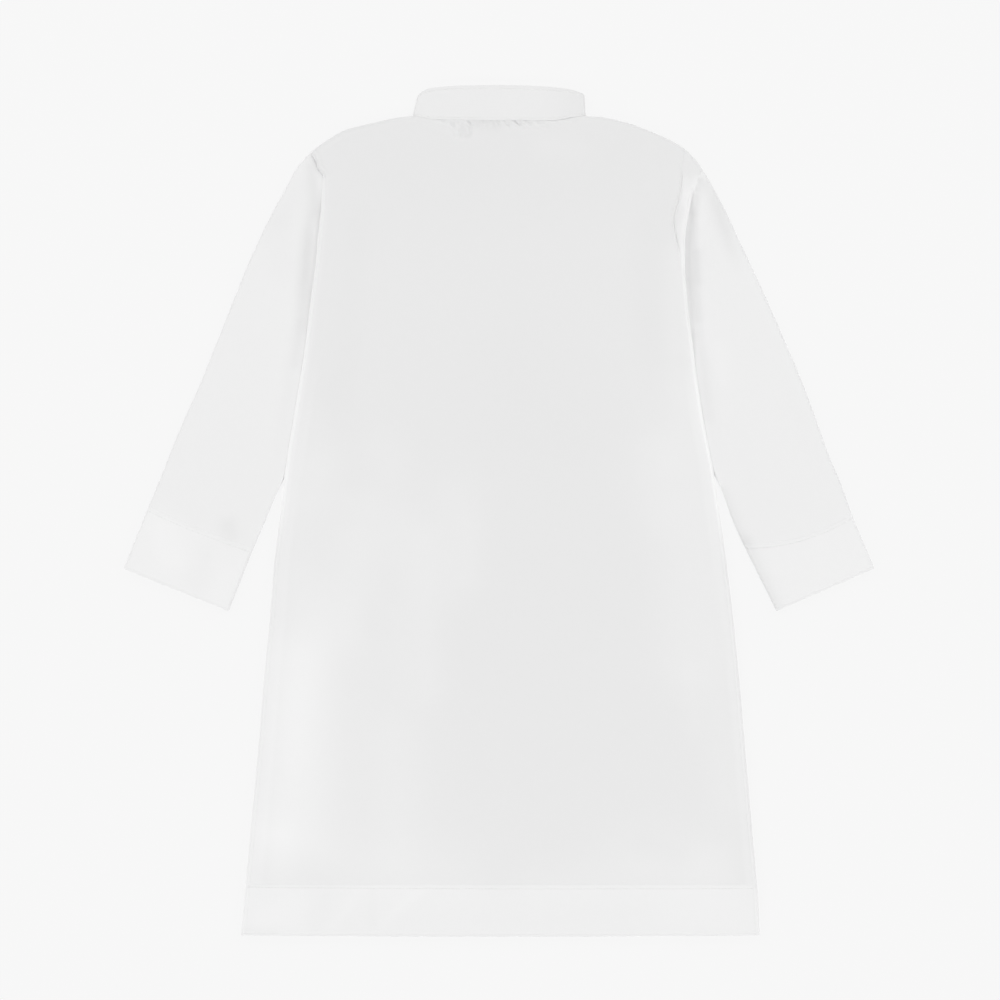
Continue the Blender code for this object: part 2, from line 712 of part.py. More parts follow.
def make_collar(collection):
    """The stand collar: a band that runs from one front end round the back to the other."""
    turns = [math.radians(90.0 * step / COLLAR_FOLD_STEPS) for step in range(COLLAR_FOLD_STEPS)]
    near_fold = BACK_NECK_STOPS[-1] / NECK_HALF
    bend = [(mix(near_fold, 1.0, math.sin(turn)), math.cos(turn)) for turn in turns]
    stations = [(x / NECK_HALF, False, 1.0) for x in FRONT_NECK_STOPS[:-1]]
    stations += [(share, False, out) for share, out in bend]
    stations += [(1.0, True, 0.0)]
    stations += [(share, True, out) for share, out in reversed(bend)]
    stations += [(x / NECK_HALF, True, 1.0) for x in reversed(BACK_NECK_STOPS[1:-1])]
    mirrored = [(-share, back, out) for share, back, out in reversed(stations)]
    rows = []
    for height_part in (1.0, 0.67, 0.33, 0.0):
        row = []
        for share, back, out in stations + [(0.0, True, 1.0)] + mirrored:
            foot = collar_station(share, back, True)
            top = collar_station(share, back, False)
            place = foot.lerp(top, height_part)
            high = mix(COLLAR_FOOT_Z, COLLAR_TOP_Z, height_part)
            low = PLACKET_Z * (1.0 - smooth(abs(place.x), 12.0, 30.0))
            middle = (high + low) / 2
            full = high if back else low
            row.append(Vector((place.x, place.y, mix(middle, full, out))))
        rows.append(row)
    mesh = loft("collar", rows, closed=False)
    made = new_object("collar", mesh, DOUBLED_WHITE, 0.8, collection)
    give_wall(made, COLLAR_WALL)


def make_placket(collection):
    """The placket, a flat doubled strip with a pointed lower end, outside the front's slit."""
    top = placket_top_y()
    end = top - PLACKET_LENGTH
    outline = (
        (-PLACKET_HALF, top),
        (-PLACKET_HALF, end + PLACKET_POINT),
        (0.0, end),
        (PLACKET_HALF, end + PLACKET_POINT),
        (PLACKET_HALF, top),
    )
    curve = bpy.data.curves.new("placket", "CURVE")
    curve.dimensions = "2D"
    curve.fill_mode = "BOTH"
    curve.extrude = PLACKET_WALL / 2 * MM
    spline = curve.splines.new("POLY")
    spline.points.add(len(outline) - 1)
    for point, (x, y) in zip(spline.points, outline):
        point.co = (x * MM, y * MM, 0.0, 1.0)
    spline.use_cyclic_u = True
    made = new_object("placket", curve, DOUBLED_WHITE, 0.8, collection)
    made.location.z = (PLACKET_Z + PLACKET_WALL / 2) * MM


def make_button(number, collection):
    """One small round button with a softened rim, flat against the placket."""
    name = f"button_{number}"
    mesh = bpy.data.meshes.new(name)
    shape = bmesh.new()
    bmesh.ops.create_cone(
        shape,
        cap_ends=True,
        segments=20,
        radius1=BUTTON_RADIUS * MM,
        radius2=BUTTON_RADIUS * MM,
        depth=BUTTON_THICK * MM,
    )
    shape.to_mesh(mesh)
    shape.free()
    made = new_object(name, mesh, BUTTON_WHITE, 0.35, collection)
    soften = made.modifiers.new("soft rim", "BEVEL")
    soften.width = 0.4 * MM
    soften.segments = 1
    soften.limit_method = "ANGLE"
    mesh.shade_smooth()
    mesh.set_sharp_from_angle(angle=math.radians(35.0))
    y = placket_top_y() - BUTTON_FIRST - BUTTON_PITCH * (number - 1)
    made.location = to_metres((0.0, y, BUTTON_THICK / 2))


def main():
    """Clears the scene and makes the robe."""
    for old in list(bpy.data.objects):
        bpy.data.objects.remove(old, do_unlink=True)
    robe = bpy.data.collections.new("thobe robe")
    bpy.context.scene.collection.children.link(robe)
    make_front(robe)
    make_back(robe)
    make_sleeve("sleeve_left", LEFT_SLEEVE, robe)
    make_sleeve("sleeve_right", RIGHT_SLEEVE, robe)
    make_cuff("cuff_left", LEFT_SLEEVE[0], LEFT_CUFF_END, robe)
    make_cuff("cuff_right", RIGHT_SLEEVE[0], RIGHT_CUFF_END, robe)
    make_collar(robe)
    make_placket(robe)
    for number in range(1, BUTTON_COUNT + 1):
        make_button(number, robe)


main()
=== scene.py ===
"""A child's thobe laid flat with its back up: its cloth, sewing, buttons and studio.

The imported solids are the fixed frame, and thin cloth is laid on their form. Lengths in this file
are millimetres, and MM turns them into metres. +X is the wearer's right, +Y runs from the hem to
the collar, +Z is up, and the surface that the robe lies on is z = 0.
"""

import logging
import math
from collections.abc import Callable, Iterator, Sequence
from contextlib import contextmanager
from dataclasses import dataclass
from enum import Enum
from typing import ClassVar, NamedTuple, TypeVar

import bpy
import numpy as np
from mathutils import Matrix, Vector, noise


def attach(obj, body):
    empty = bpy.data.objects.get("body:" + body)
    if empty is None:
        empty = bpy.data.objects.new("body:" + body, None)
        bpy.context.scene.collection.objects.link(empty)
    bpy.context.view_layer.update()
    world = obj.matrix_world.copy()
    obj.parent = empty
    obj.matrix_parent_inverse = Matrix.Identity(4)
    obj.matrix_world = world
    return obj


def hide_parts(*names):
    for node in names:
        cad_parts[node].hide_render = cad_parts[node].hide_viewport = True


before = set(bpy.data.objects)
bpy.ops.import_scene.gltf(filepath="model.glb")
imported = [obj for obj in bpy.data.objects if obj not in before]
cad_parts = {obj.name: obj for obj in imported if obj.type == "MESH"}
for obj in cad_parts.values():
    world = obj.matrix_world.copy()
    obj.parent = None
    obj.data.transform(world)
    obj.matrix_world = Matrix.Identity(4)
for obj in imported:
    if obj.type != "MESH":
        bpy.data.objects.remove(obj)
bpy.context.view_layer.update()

LOG = logging.getLogger("thobe")
MM = 0.001
Array = np.ndarray
Piece, Material, Socket = bpy.types.Object, bpy.types.Material, bpy.types.NodeSocket
Place = tuple[float, float]
Span = tuple[float, float]
Row = TypeVar("Row")


# Small pieces of arithmetic

def mix(low: Array | float, high: Array | float, part: Array | float) -> Array:
    """The value a part of the way from low to high."""
    return low + (np.asarray(high) - low) * part


def smooth(value: Array | float, start: float, end: float) -> Array:
    """0 before start, 1 after end, and a soft rise between them."""
    part = np.clip((np.asarray(value, float) - start) / (end - start), 0.0, 1.0)
    return part * part * (3.0 - 2.0 * part)


def fade(value: Array | float, start: float, end: float) -> Array:
    """1 before start, 0 after end, and a soft fall between them."""
    return 1.0 - smooth(value, start, end)


def bell(away: Array | float, reach: float) -> Array:
    """1 at no distance, falling softly to almost 0 at twice the reach."""
    return np.exp(-((away / reach) ** 2))


def arch(share: Array) -> Array:
    """0 at both ends of a share from 0 to 1, and 1 in its middle."""
    return 4.0 * share * (1.0 - share)


def quarter(distance: Array, radius: float) -> Array:
    """0 at a rounded edge and 1 past its radius, as a quarter circle rises."""
    left = 1.0 - np.clip(distance, 0.0, radius) / radius
    return np.sqrt(np.maximum(1.0 - left * left, 0.0))


def arc_steps(radius: float, count: int) -> Array:
    """Distances in from a rounded edge at which its faces begin, the edge itself left out."""
    turns = np.radians(90.0) * np.arange(1, count + 1) / count
    return radius * (1.0 - np.cos(turns))


def steps(low: float, high: float, spacing: float) -> Array:
    """Evenly spaced values from low to just below high, about spacing apart."""
    count = max(round((high - low) / spacing), 1)
    return np.linspace(low, high, count, endpoint=False)


class SmoothLine:
    """A smooth curve, with no overshoot, through given values at given places."""

    def __init__(self, places: Sequence[float], values: Sequence[float]) -> None:
        """Works out the curve's slopes.

        Args:
            places: where the values hold, rising.
            values: the value at each place.
        """
        self.places = np.asarray(places, float)
        self.values = np.asarray(values, float)
        self.widths = np.diff(self.places)
        slopes = np.diff(self.values) / self.widths
        product = slopes[:-1] * slopes[1:]
        both = np.where(product > 0.0, slopes[:-1] + slopes[1:], 1.0)
        inner = np.where(product > 0.0, 2.0 * product / both, 0.0)
        self.tangents = np.concatenate([slopes[:1], inner, slopes[-1:]])

    def __call__(self, place: Array | float) -> Array:
        """Reads the curve.

        Args:
            place: where; past its ends the curve stays level.

        Returns:
            The curve's value at each place.
        """
        place = np.clip(place, self.places[0], self.places[-1])
        i = np.searchsorted(self.places, place, side="right") - 1
        i = np.clip(i, 0, len(self.widths) - 1)
        t = (place - self.places[i]) / self.widths[i]
        rise = self.values[i + 1] - self.values[i]
        bend_in = self.tangents[i] * self.widths[i]
        bend_out = self.tangents[i + 1] * self.widths[i]
        square = (3.0 * rise - 2.0 * bend_in - bend_out) * t * t
        cube = (bend_in + bend_out - 2.0 * rise) * t * t * t
        return self.values[i] + bend_in * t + square + cube


# Marks that are laid on cloth, each a row of a table whose columns are its class's fields

@dataclass(frozen=True)
class Stroke:
    """A straight line on the cloth."""

    start_x: float
    start_y: float
    end_x: float
    end_y: float

    def beside(self, x: Array, y: Array) -> tuple[Array, Array, Array]:
        """Measures points against the line.

        Args:
            x: the points' x.
            y: the points' y.

        Returns:
            The share of its length along it, the distance to its left, and the distance past
            its nearer end.
        """
        run_x, run_y = self.end_x - self.start_x, self.end_y - self.start_y
        length = math.hypot(run_x, run_y)
        along = ((x - self.start_x) * run_x + (y - self.start_y) * run_y) / length**2
        aside = ((y - self.start_y) * run_x - (x - self.start_x) * run_y) / length
        return along, aside, (along - np.clip(along, 0.0, 1.0)) * length


@dataclass(frozen=True)
class Fold(Stroke):
    """A soft ridge, or a trough where it sinks, along a line that may bow sideways."""

    left_reach: float
    right_reach: float
    rise: float
    bow: float = 0.0
    begins: ClassVar[Span] = (-0.15, 0.25)
    fades: ClassVar[Span] = (0.75, 1.15)

    def at(self, x: Array, y: Array) -> Array:
        """Raises the cloth.

        Args:
            x: the points' x.
            y: the points' y.

        Returns:
            How far the fold lifts the cloth at each point.
        """
        along, aside, past = self.beside(x, y)
        aside = aside - self.bow * arch(np.clip(along, 0.0, 1.0))
        reach = np.where(aside > 0.0, self.left_reach, self.right_reach)
        kept = smooth(along, *self.begins) * fade(along, *self.fades)
        return self.rise * kept * np.exp(-(aside**2 + past**2) / reach**2)


@dataclass(frozen=True)
class Gather(Fold):
    """A fold that starts in a seam and is deepest just past it."""

    begins: ClassVar[Span] = (0.02, 0.52)
    fades: ClassVar[Span] = (0.55, 1.15)


@dataclass(frozen=True)
class PaintedShading(Stroke):
    """A soft patch along a line: painted highlight where its amount is above nought, painted shade
    where it is below.
    """

    reach: float
    amount: float

    def at(self, x: Array, y: Array) -> Array:
        """How far the painted highlight lightens the cloth at each point; below nought it is
        painted shade.
        """
        _, aside, past = self.beside(x, y)
        return self.amount * bell(np.hypot(aside, past), self.reach)


@dataclass(frozen=True)
class Taper(PaintedShading):
    """A patch of painted shading that fades towards both of its ends."""

    begins: ClassVar[Span] = (0.0, 0.35)
    fades: ClassVar[Span] = (0.45, 1.0)

    def at(self, x: Array, y: Array) -> Array:
        """How far the painted highlight lightens the cloth at each point; below nought it is
        painted shade.
        """
        along = self.beside(x, y)[0]
        return super().at(x, y) * smooth(along, *self.begins) * fade(along, *self.fades)


class Ripple(NamedTuple):
    """Soft uneven waves of about a height and about a length each way."""

    rise: float
    length_x: float
    length_y: float
    seed: float

    def at(self, x: Array, y: Array) -> Array:
        """How far they lift the cloth at each point."""
        flat_x, flat_y = np.broadcast_arrays(x / self.length_x, y / self.length_y)
        places = zip(flat_x.ravel(), flat_y.ravel())
        values = [noise.noise(Vector((a, b, self.seed))) for a, b in places]
        return self.rise * np.reshape(values, flat_x.shape)


class Band(NamedTuple):
    """A soft band along an edge, a seam or a row of stitches."""

    amount: float
    reach: float
    place: float = 0.0      # how far it runs from where distances are measured

    def at(self, distance: Array | float) -> Array:
        """How much of it there is at each distance."""
        return self.amount * bell(distance - self.place, self.reach)


def table(kind: Callable[..., Row], *rows: Sequence[float]) -> tuple[Row, ...]:
    """A table's rows as the kind of mark that they stand for."""
    return tuple(kind(*row) for row in rows)


def total(marks: Sequence[Fold | PaintedShading | Ripple], x: Array, y: Array) -> Array:
    """The sum of what the marks of a table do at each point."""
    return sum((mark.at(x, y) for mark in marks), np.zeros(np.broadcast(x, y).shape))


# The robe's sizes, which repeat those of its solids

HEM_Y = -310.5
HEM_DEPTH = 38.0
HEM_TOP = HEM_Y + HEM_DEPTH
HEM_SAG = 1.0
HEM_ROW = 35.4              # the hem's row of stitches, up from the edge
HEM_SEAM = 37.0             # where its turned-in edge draws the cloth in
ROW_SINKS = 0.25            # how far a row of stitches draws the cloth in
LEFT_TIP = (-138.4, 261.9)
RIGHT_TIP = (149.5, 249.2)
NECK_HALF = 63.5
NECK_CORNER = 1.8
NECK_DIP = 36.0
NECK_CURVE = 2.4
PLACKET_HALF = 11.0
PLACKET_LENGTH = 168.0
PLACKET_Z = 1.8
BUTTON_THICK = 1.5
SLEEVE_LIFT = 4.25
SIDE_SEAM = 3.4             # a side seam's distance in from the edge
SEAM = 0.03                 # what is left open between two sewn edges
SINGLE = 0.55               # one layer of cloth
DOUBLED = 1.0               # two layers, pressed
FLAT_ON = 0.9               # how much of its normal a face that looks along an axis has on it


class Side(Enum):
    """The robe's sides, each with the sign of the direction in from its edge."""

    LEFT = 1.0
    RIGHT = -1.0


class EdgeRow(NamedTuple):
    """The body's side edges at one height, and the right seam's distance in."""

    y: float
    left: float
    right: float
    right_seam: float = SIDE_SEAM


class SleeveSection(NamedTuple):
    """One section across a sleeve, from its outer edge to its inner edge."""

    outer_x: float
    outer_y: float
    inner_x: float
    inner_y: float
    bow: float = 0.0        # how far its middle sags towards the cuff


BODY_EDGES = table(
    EdgeRow,
    (-310.5, -188.9, 191), (-285, -186.6, 189.8), (-241, -182.6, 186), (-182, -177, 180.9),
    (-124, -172.2, 175.9), (-80, -167.9, 171.6), (-36, -164.3, 166.3), (0, -159.9, 161.3),
    (28, -156.9, 157.2), (72, -149.8, 148.5), (125, -141.2, 141), (154, -137.6, 137.5),
    (182, -133.8, 135.8, 3.6), (190, -133.1, 135.8, 5.6), (200, -132.3, 136.1, 8.2),
    (207, -131.5, 136.9, 8.8), (214, -130.7, 138.1, 7.8), (226, -130, 140.4, 7.2),
    (232, -130.1, 142, 8.2), (237, -130.4, 145.3, 11.1), (241, -129.9, 147.3, 12.8),
    (243.4, -128.6, 148.1, 13.4), (245.2, -128.2, 148.5, 13.8), (247.5, -130.3, 149.1, 14.2),
    (250.2, -132.6, 149.7, 14.5), (256.6, -134, 150.9, 14.5), (259.4, -135.8, 151.5, 14.5),
    (261.9, -138.4, 152, 14.5),
)
LEFT_SHOULDER = (
    (-138.4, 261.9), (-133.4, 266.1), (-120.2, 274.9), (-111.4, 279.3), (-93.8, 283.7),
    (-74.8, 288), (-63.5, 289.3),
)
BACK_NECK = (
    (-63.5, 289.3), (-49.8, 286.7), (-27.1, 286), (38.1, 285.5), (51, 287.4), (63.5, 289.3),
)
RIGHT_SHOULDER = (
    (63.5, 289.3), (77, 288.1), (95.3, 283.7), (107, 279.3), (118, 274.9), (134.1, 266.1),
    (143.7, 257.3), (149.5, 249.2),
)
COLLAR_BACK_TOP = (
    (-60.6, 301), (-57.8, 305.6), (-50, 309.4), (-30, 311.1), (0, 311.5), (30, 310.7), (50, 308.7),
    (57.6, 306.7), (61.4, 305.1), (62.8, 303),
)
SLEEVES = {
    Side.LEFT: table(
        SleeveSection,
        (-256.8, 2.9, -179.9, -27.9, 1.5), (-250, 19.1, -173.2, -12.5, 1),
        (-241.2, 41, -163.6, 10.5), (-232.4, 63, -152.6, 34), (-222.3, 85, -143.5, 57),
        (-213.3, 107, -137, 81), (-204.5, 129, -132, 106), (-195.7, 151, -128.5, 131),
        (-186.9, 173, -126, 155), (-177.4, 195, -124.8, 179), (-166.6, 217, -123, 203),
        (-154.7, 239, -121.5, 224), (-148.2, 250.8, -123, 239), (-139, 261.4, -129, 250.8),
        (-136.9, 262.6, -125, 255),
    ),
    Side.RIGHT: table(
        SleeveSection,
        (258.4, -2.9, 179, -24.9, 6), (250.7, 19.1, 170.6, -6, 3), (241.4, 41, 163.2, 14.5),
        (233.6, 63, 153, 36), (225.6, 85, 144, 58), (216.8, 107, 137.5, 82),
        (207.3, 129, 132.5, 106), (197.8, 151, 129, 130), (187.6, 173, 127.5, 153),
        (177.4, 195, 128, 175), (167.1, 217, 129, 193), (158.4, 233.6, 132, 210),
        (150.8, 247.2, 138, 228), (148.7, 249.9, 137, 236),
    ),
}
CUFF_ENDS = {
    Side.LEFT: SleeveSection(-274.9, -42.3, -197.9, -73.3),
    Side.RIGHT: SleeveSection(274.9, -42, 203, -73.3),
}

# Creases. The back's own are the large folds that its solid has too.

BACK_FOLDS = table(
    Fold,
    (-50, 15, -42, -262, 15, 15, 0.55), (-92, -30, -78, -128, 18, 18, -0.9),
    (-149, -90, -160, -300, 22, 22, 0.75), (-118, 40, -128, -80, 20, 20, 0.45),
    (55, -20, 66, -255, 42, 42, -0.8), (120, 60, 138, -110, 20, 20, -0.5),
    (148, -60, 163, -290, 16, 16, 0.6), (-105, 120, -60, 40, 22, 22, -0.5),
    (100, 150, 60, 60, 24, 24, -0.4), (-150, -296, -118, -276, 9, 9, 0.4),
    (-62, -304, -30, -280, 9, 9, 0.35),
)
FRONT_FOLDS = table(
    Fold,
    (-112, 122, -56, 34, 16, 16, 0.55), (108, 128, 50, 28, 18, 18, 0.5),
    (-20, 86, -36, -50, 14, 14, 0.45), (26, 84, 44, -70, 15, 15, 0.4),
    (-96, -60, -118, -232, 18, 18, 0.6), (92, -90, 112, -262, 20, 20, 0.55),
    (-30, -150, -20, -266, 15, 15, 0.4), (-88, 222, -66, 168, 13, 13, 0.4),
    (90, 224, 70, 166, 13, 13, 0.35),
)
NECK_FOLDS = table(
    Gather,
    (-53, 287.4, -42, 282.6, 1.5, 2, -0.65), (-48, 287.2, -36, 281.6, 1.5, 2.1, -1.25),
    (-38, 287.2, -30.4, 277.6, 1.4, 1.9, -1.7), (-25.6, 287, -19, 281, 1, 1.4, -1.2),
    (-14.5, 287, -9.5, 280.6, 1.4, 1.9, -0.7), (-7.6, 287, -3, 280.6, 1.3, 1.8, -0.8),
    (-2.1, 287, 0.6, 281, 0.9, 1.2, -1.2), (2, 287, 8.2, 280.2, 1, 1.5, -1.5),
    (5.2, 287, 12, 280.2, 0.9, 1.2, 0.8), (8, 287, 18.4, 280.4, 1.1, 1.7, -1.7),
    (12.8, 287, 22, 281.2, 0.9, 1.2, 0.6), (15.6, 286.6, 27.4, 280.4, 1.3, 1.9, -1.55),
    (22.6, 285.9, 35.4, 281.6, 1.3, 1.7, -1.3), (32, 286, 46, 283.2, 1.2, 1.6, -0.5),
    (45.5, 287.4, 56, 285, 1.1, 1.5, -0.5),
) + table(
    Fold,
    (-29.6, 284.8, -28.6, 273, 2.3, 2.6, -1.8, -0.4),
    (-24.4, 283.6, -22.2, 273.4, 2, 2.6, 1.4, 0.5), (-18, 282.4, -2, 282.4, 3.2, 4.2, -0.7),
)
SHOULDER_FOLDS = table(
    Fold,
    (134.2, 256, 132, 232, 1.4, 4.5, 0.22, -0.6), (131.5, 224, 129.5, 196, 2, 5, 0.16),
    (128.5, 206, 131.5, 186, 1, 1.4, -0.22), (-126.5, 243, -125.5, 214, 3, 2.2, 0.3, 0.5),
    (-119, 262, -112, 240, 5, 6, -0.22), (112, 262, 118, 226, 7, 5, -0.2),
)
HEM_FOLDS = table(
    Fold,
    (-138, -308, -126, -277, 4, 5, -0.3), (-126, -309, -100, -275, 4.5, 3.6, 0.45),
    (-94, -308, -93, -276, 3, 3, -0.3), (-91, -309, -58, -275, 4.5, 3.6, 0.45),
    (-58, -309, -38, -279, 4, 3.5, 0.32), (-24, -308, -8, -278, 5, 4.5, -0.16),
    (34, -308, 48, -280, 5, 6, 0.14), (92, -308, 104, -279, 6, 5, 0.16),
    (138, -307, 149, -280, 5, 4.5, 0.18), (-178, -306, -160, -288, 5, 4, 0.22),
)
SLEEVE_FOLDS = table(
    Fold,
    (-139, 222, -146.5, 128, 4.5, 6, -1), (144.5, 212, 149.5, 120, 4.5, 4.5, -0.9),
    (152, 214, 153, 166, 4, 6, 0.5), (-236, 24, -182, 140, 12, 12, -0.5),
    (-198, 10, -180, 60, 10, 10, 0.45), (-204, -30, -196, 2, 10, 10, -0.45),
    (232, 20, 184, 128, 12, 12, -0.45), (157, 226, 166, 196, 6, 6, -0.35),
    (206, -10, 182, 56, 10, 10, 0.4),
)
SLEEVE_HOLLOWS = table(
    Fold,
    (-214, 26, -178, 106, 9, 9, 0.45), (-234, 40, -200, 118, 8, 8, 0.3),
    (-164, 196, -152, 148, 7, 7, 0.35), (214, 20, 182, 98, 9, 9, 0.45),
    (238, 34, 208, 116, 8, 8, 0.3), (168, 194, 154, 146, 7, 7, 0.35),
)
SLEEVE_RISES = table(
    Fold,
    (156, 257, 145.5, 235.5, 5, 5, 1.3),
)
SLEEVE_CREASES = table(
    Fold,
    (-137, 262, -126.6, 243.4, 2.3, 2.3, -1.6, -0.8), (152.5, 246, 143, 231, 4, 4, 0.8),
    (-200.8, -6, -195.4, -29, 3, 5, -0.36, 0.8), (-212, 6, -207, -20, 3.5, 4.5, 0.2),
    (-232, 2, -226, -30, 4, 5, 0.22), (-246, -4, -243, -34, 3, 4, -0.16),
    (-218, 92, -196, 128, 5, 8, 0.16), (-172, 196, -160, 216, 4, 6, 0.18),
    (-146, 236, -140, 206, 3, 4.5, -0.2), (186, -22, 204, -66, 5, 6, -0.34, 0.6),
    (162, 214, 170, 198, 4, 5, -0.26), (150, 224, 153, 180, 4, 6, 0.22),
    (222, 66, 206, 108, 5, 7, 0.18), (240, 12, 246, -26, 5, 4, 0.14),
)

# Patches of painted shade and painted highlight: shadows beside the body's edges, in folds and
# below the collar, bright ridges, and broad lighter and darker areas

BODY_PAINTED_SHADING = table(
    PaintedShading,
    (-150, -110, -162, -232, 24, 0.15), (-166, -240, -166, -262, 20, 0.06),
    (-142, 30, -150, -40, 22, 0.07), (-56, -20, -50, -130, 13, 0.05),
    (-86, -82, -82, -140, 14, -0.03), (152, 80, 168, -210, 20, 0.06),
    (-110, -262, -30, -266, 24, 0.05), (30, -272, 150, -262, 18, 0.05),
    (10, 110, 40, 60, 40, -0.02), (-100, 264, 100, 264, 60, -0.06), (-17, 284, -3, 283, 5, -0.12),
    (-86, 44, -80, 34, 18, 0.05), (108, 40, 114, 0, 18, 0.04), (112, -246, 158, -256, 22, 0.05),
    (-176, -300, -150, -297, 14, 0.06), (-138, -75, -136, -240, 26, 0.125),
    (-109, -20, -109, -85, 20, 0.07), (-80, -10, -76, -250, 26, 0.075),
    (-32, 8, -34, -50, 20, 0.06), (130, 90, 136, -110, 24, 0.075),
    (144, 241.5, 138.5, 232, 3.6, 0.12), (136.5, 241, 135, 224, 3.4, 0.12),
    (129.5, 186, 131.5, 122, 9, 0.06), (-142, 7, -95, 8, 10, 0.035),
    (-86, -44, -80, -60, 12, -0.035), (-95, -70, -94, -88, 9, -0.03), (-21, -8, -21, -46, 9, 0.03),
    (139, -120, 142, -156, 10, 0.035), (108, -244, 130, -252, 11, -0.05),
    (-183, -256, -185.5, -282, 6, 0.045), (32, 267, 56, 264, 9, 0.03),
    (-184, -308, -166, -308.5, 4, -0.07), (140, 226, 134, 206, 3.6, 0.12),
    (133.6, 202, 134.4, 178, 2.6, 0.08), (-133, 62, -128, 30, 15, 0.045),
    (126, 52, 126, 36, 13, 0.025), (-120, -150, -50, -250, 60, 0.018),
    (-162, -240, -158, -266, 12, 0.045), (84, -250, 160, -262, 22, 0.022),
    (130, -294, 172, -294, 17, 0.035), (-152, -140, -152, -180, 14, 0.02),
    (-165.4, -50, -188.8, -308, 2.2, 0.11), (167.8, -50, 191, -308, 2.4, 0.05),
    (-168, -297, -146, -281, 9, 0.025), (-136, -300, -128, -281, 6, -0.025),
    (-121, -303, -103, -278, 4.5, 0.035), (-93, -302, -93, -279, 3.5, -0.035),
    (-86, -303, -60, -278, 4.5, 0.035),
)
# Painted shade on the sleeves and cuffs beside the body's edges, at a dimple and along the right
# cuff's inner edge, with painted highlight beside the folds and edges
SLEEVE_PAINTED_SHADING = table(
    PaintedShading,
    (147.8, 241.5, 145.2, 235, 2.4, -0.16), (144.4, 230, 143.6, 217, 2.7, -0.21),
    (143.6, 212, 143, 196, 3.6, -0.09), (144.1, 189, 144.9, 168, 4, -0.24),
    (144.8, 160, 145.6, 141, 4.2, -0.14), (146.2, 131, 153, 68, 3.8, -0.08),
    (138.7, 216, 137.5, 196, 1.9, 0.15), (137.3, 192, 137.4, 172, 2.3, 0.19),
    (137.7, 167, 140.4, 134, 2.2, 0.19), (-133.4, 205, -136.8, 165, 1.8, 0.09),
    (-137.5, 252, -132.8, 218, 5, -0.19), (-163, 206, -158, 178, 11, -0.04),
    (162.5, 118, 164.5, 96, 7, 0.04), (-144.4, 138, -148.6, 108, 4, -0.09),
    (-160, 216, -146, 234, 12, -0.06), (-179.4, -27, -158, 22, 1.8, 0.09),
    (179, -24, 163, 14, 4.5, -0.14), (-137.6, 261, -127.8, 244, 2.6, -0.18),
    (-246, -14, -240, -34, 13, 0.06), (-214, -30, -222, -50, 9, -0.04),
    (-206, -62, -199, -48, 8, 0.035), (180, -24, 201, -70, 6, -0.2),
) + table(
    Taper,
    (-137, 236, -147.5, 106, 5.5, -0.26), (150, 252, 178, 168, 5.5, -0.22),
    (-199.8, 0, -193.8, -31, 6.6, -0.13),
)


# Finishes

class Slot(Enum):
    """The record's material slots."""

    CLOTH = "cloth"
    DOUBLED = "doubled_cloth"
    BUTTON = "button"


class NodeSheet:
    """Adds shader nodes to a material or a world and joins them."""

    def __init__(self, owner: Material | bpy.types.World) -> None:
        """Starts from the owner's shader and output alone."""
        owner.use_nodes = True
        self.tree = owner.node_tree
        output = next(node for node in self.tree.nodes if node.type.startswith("OUTPUT"))
        self.shader = output.inputs["Surface"].links[0].from_node

    def add(self, kind: str, **settings: object) -> bpy.types.Node:
        """Adds a node.

        Args:
            kind: the node's type.
            settings: values for its inputs where it has one of the name, with _ for each
                space, and otherwise for its own fields.

        Returns:
            The node.
        """
        node = self.tree.nodes.new(kind)
        for name, value in settings.items():
            socket = node.inputs.get(name.replace("_", " "))
            if socket is None:
                setattr(node, name, value)
            else:
                socket.default_value = value
        return node

    def link(self, source: Socket, target: Socket) -> None:
        """Joins two sockets."""
        self.tree.links.new(source, target)

    def maths(self, operation: str, *values: Socket | float) -> Socket:
        """A Math node fed with sockets or numbers.

        Args:
            operation: the node's operation.
            values: its inputs in order.

        Returns:
            Its output socket.
        """
        node = self.add("ShaderNodeMath", operation=operation)
        for socket, value in zip(node.inputs, values):
            if isinstance(value, Socket):
                self.link(value, socket)
            else:
                socket.default_value = value
        return node.outputs[0]

    def colour(self, factor: Socket, low: Sequence[float], high: Sequence[float]) -> None:
        """Colours the shader between two colours, by a socket."""
        node = self.add("ShaderNodeMix", data_type="RGBA")
        self.link(factor, node.inputs[0])
        node.inputs[6].default_value = (*low, 1.0)
        node.inputs[7].default_value = (*high, 1.0)
        self.link(node.outputs[2], self.shader.inputs[0])

    def bump(self, height: Socket, strength: float, depth: float) -> None:
        """Gives the shader a bump from a socket, of a depth in millimetres."""
        bump = self.add("ShaderNodeBump", Strength=strength, Distance=depth * MM)
        self.link(height, bump.inputs["Height"])
        self.link(bump.outputs[0], self.shader.inputs["Normal"])

    def set(self, **values: float | Sequence[float]) -> None:
        """Sets the shader's own sockets, named with _ for each space."""
        for name, value in values.items():
            self.shader.inputs[name.replace("_", " ")].default_value = value


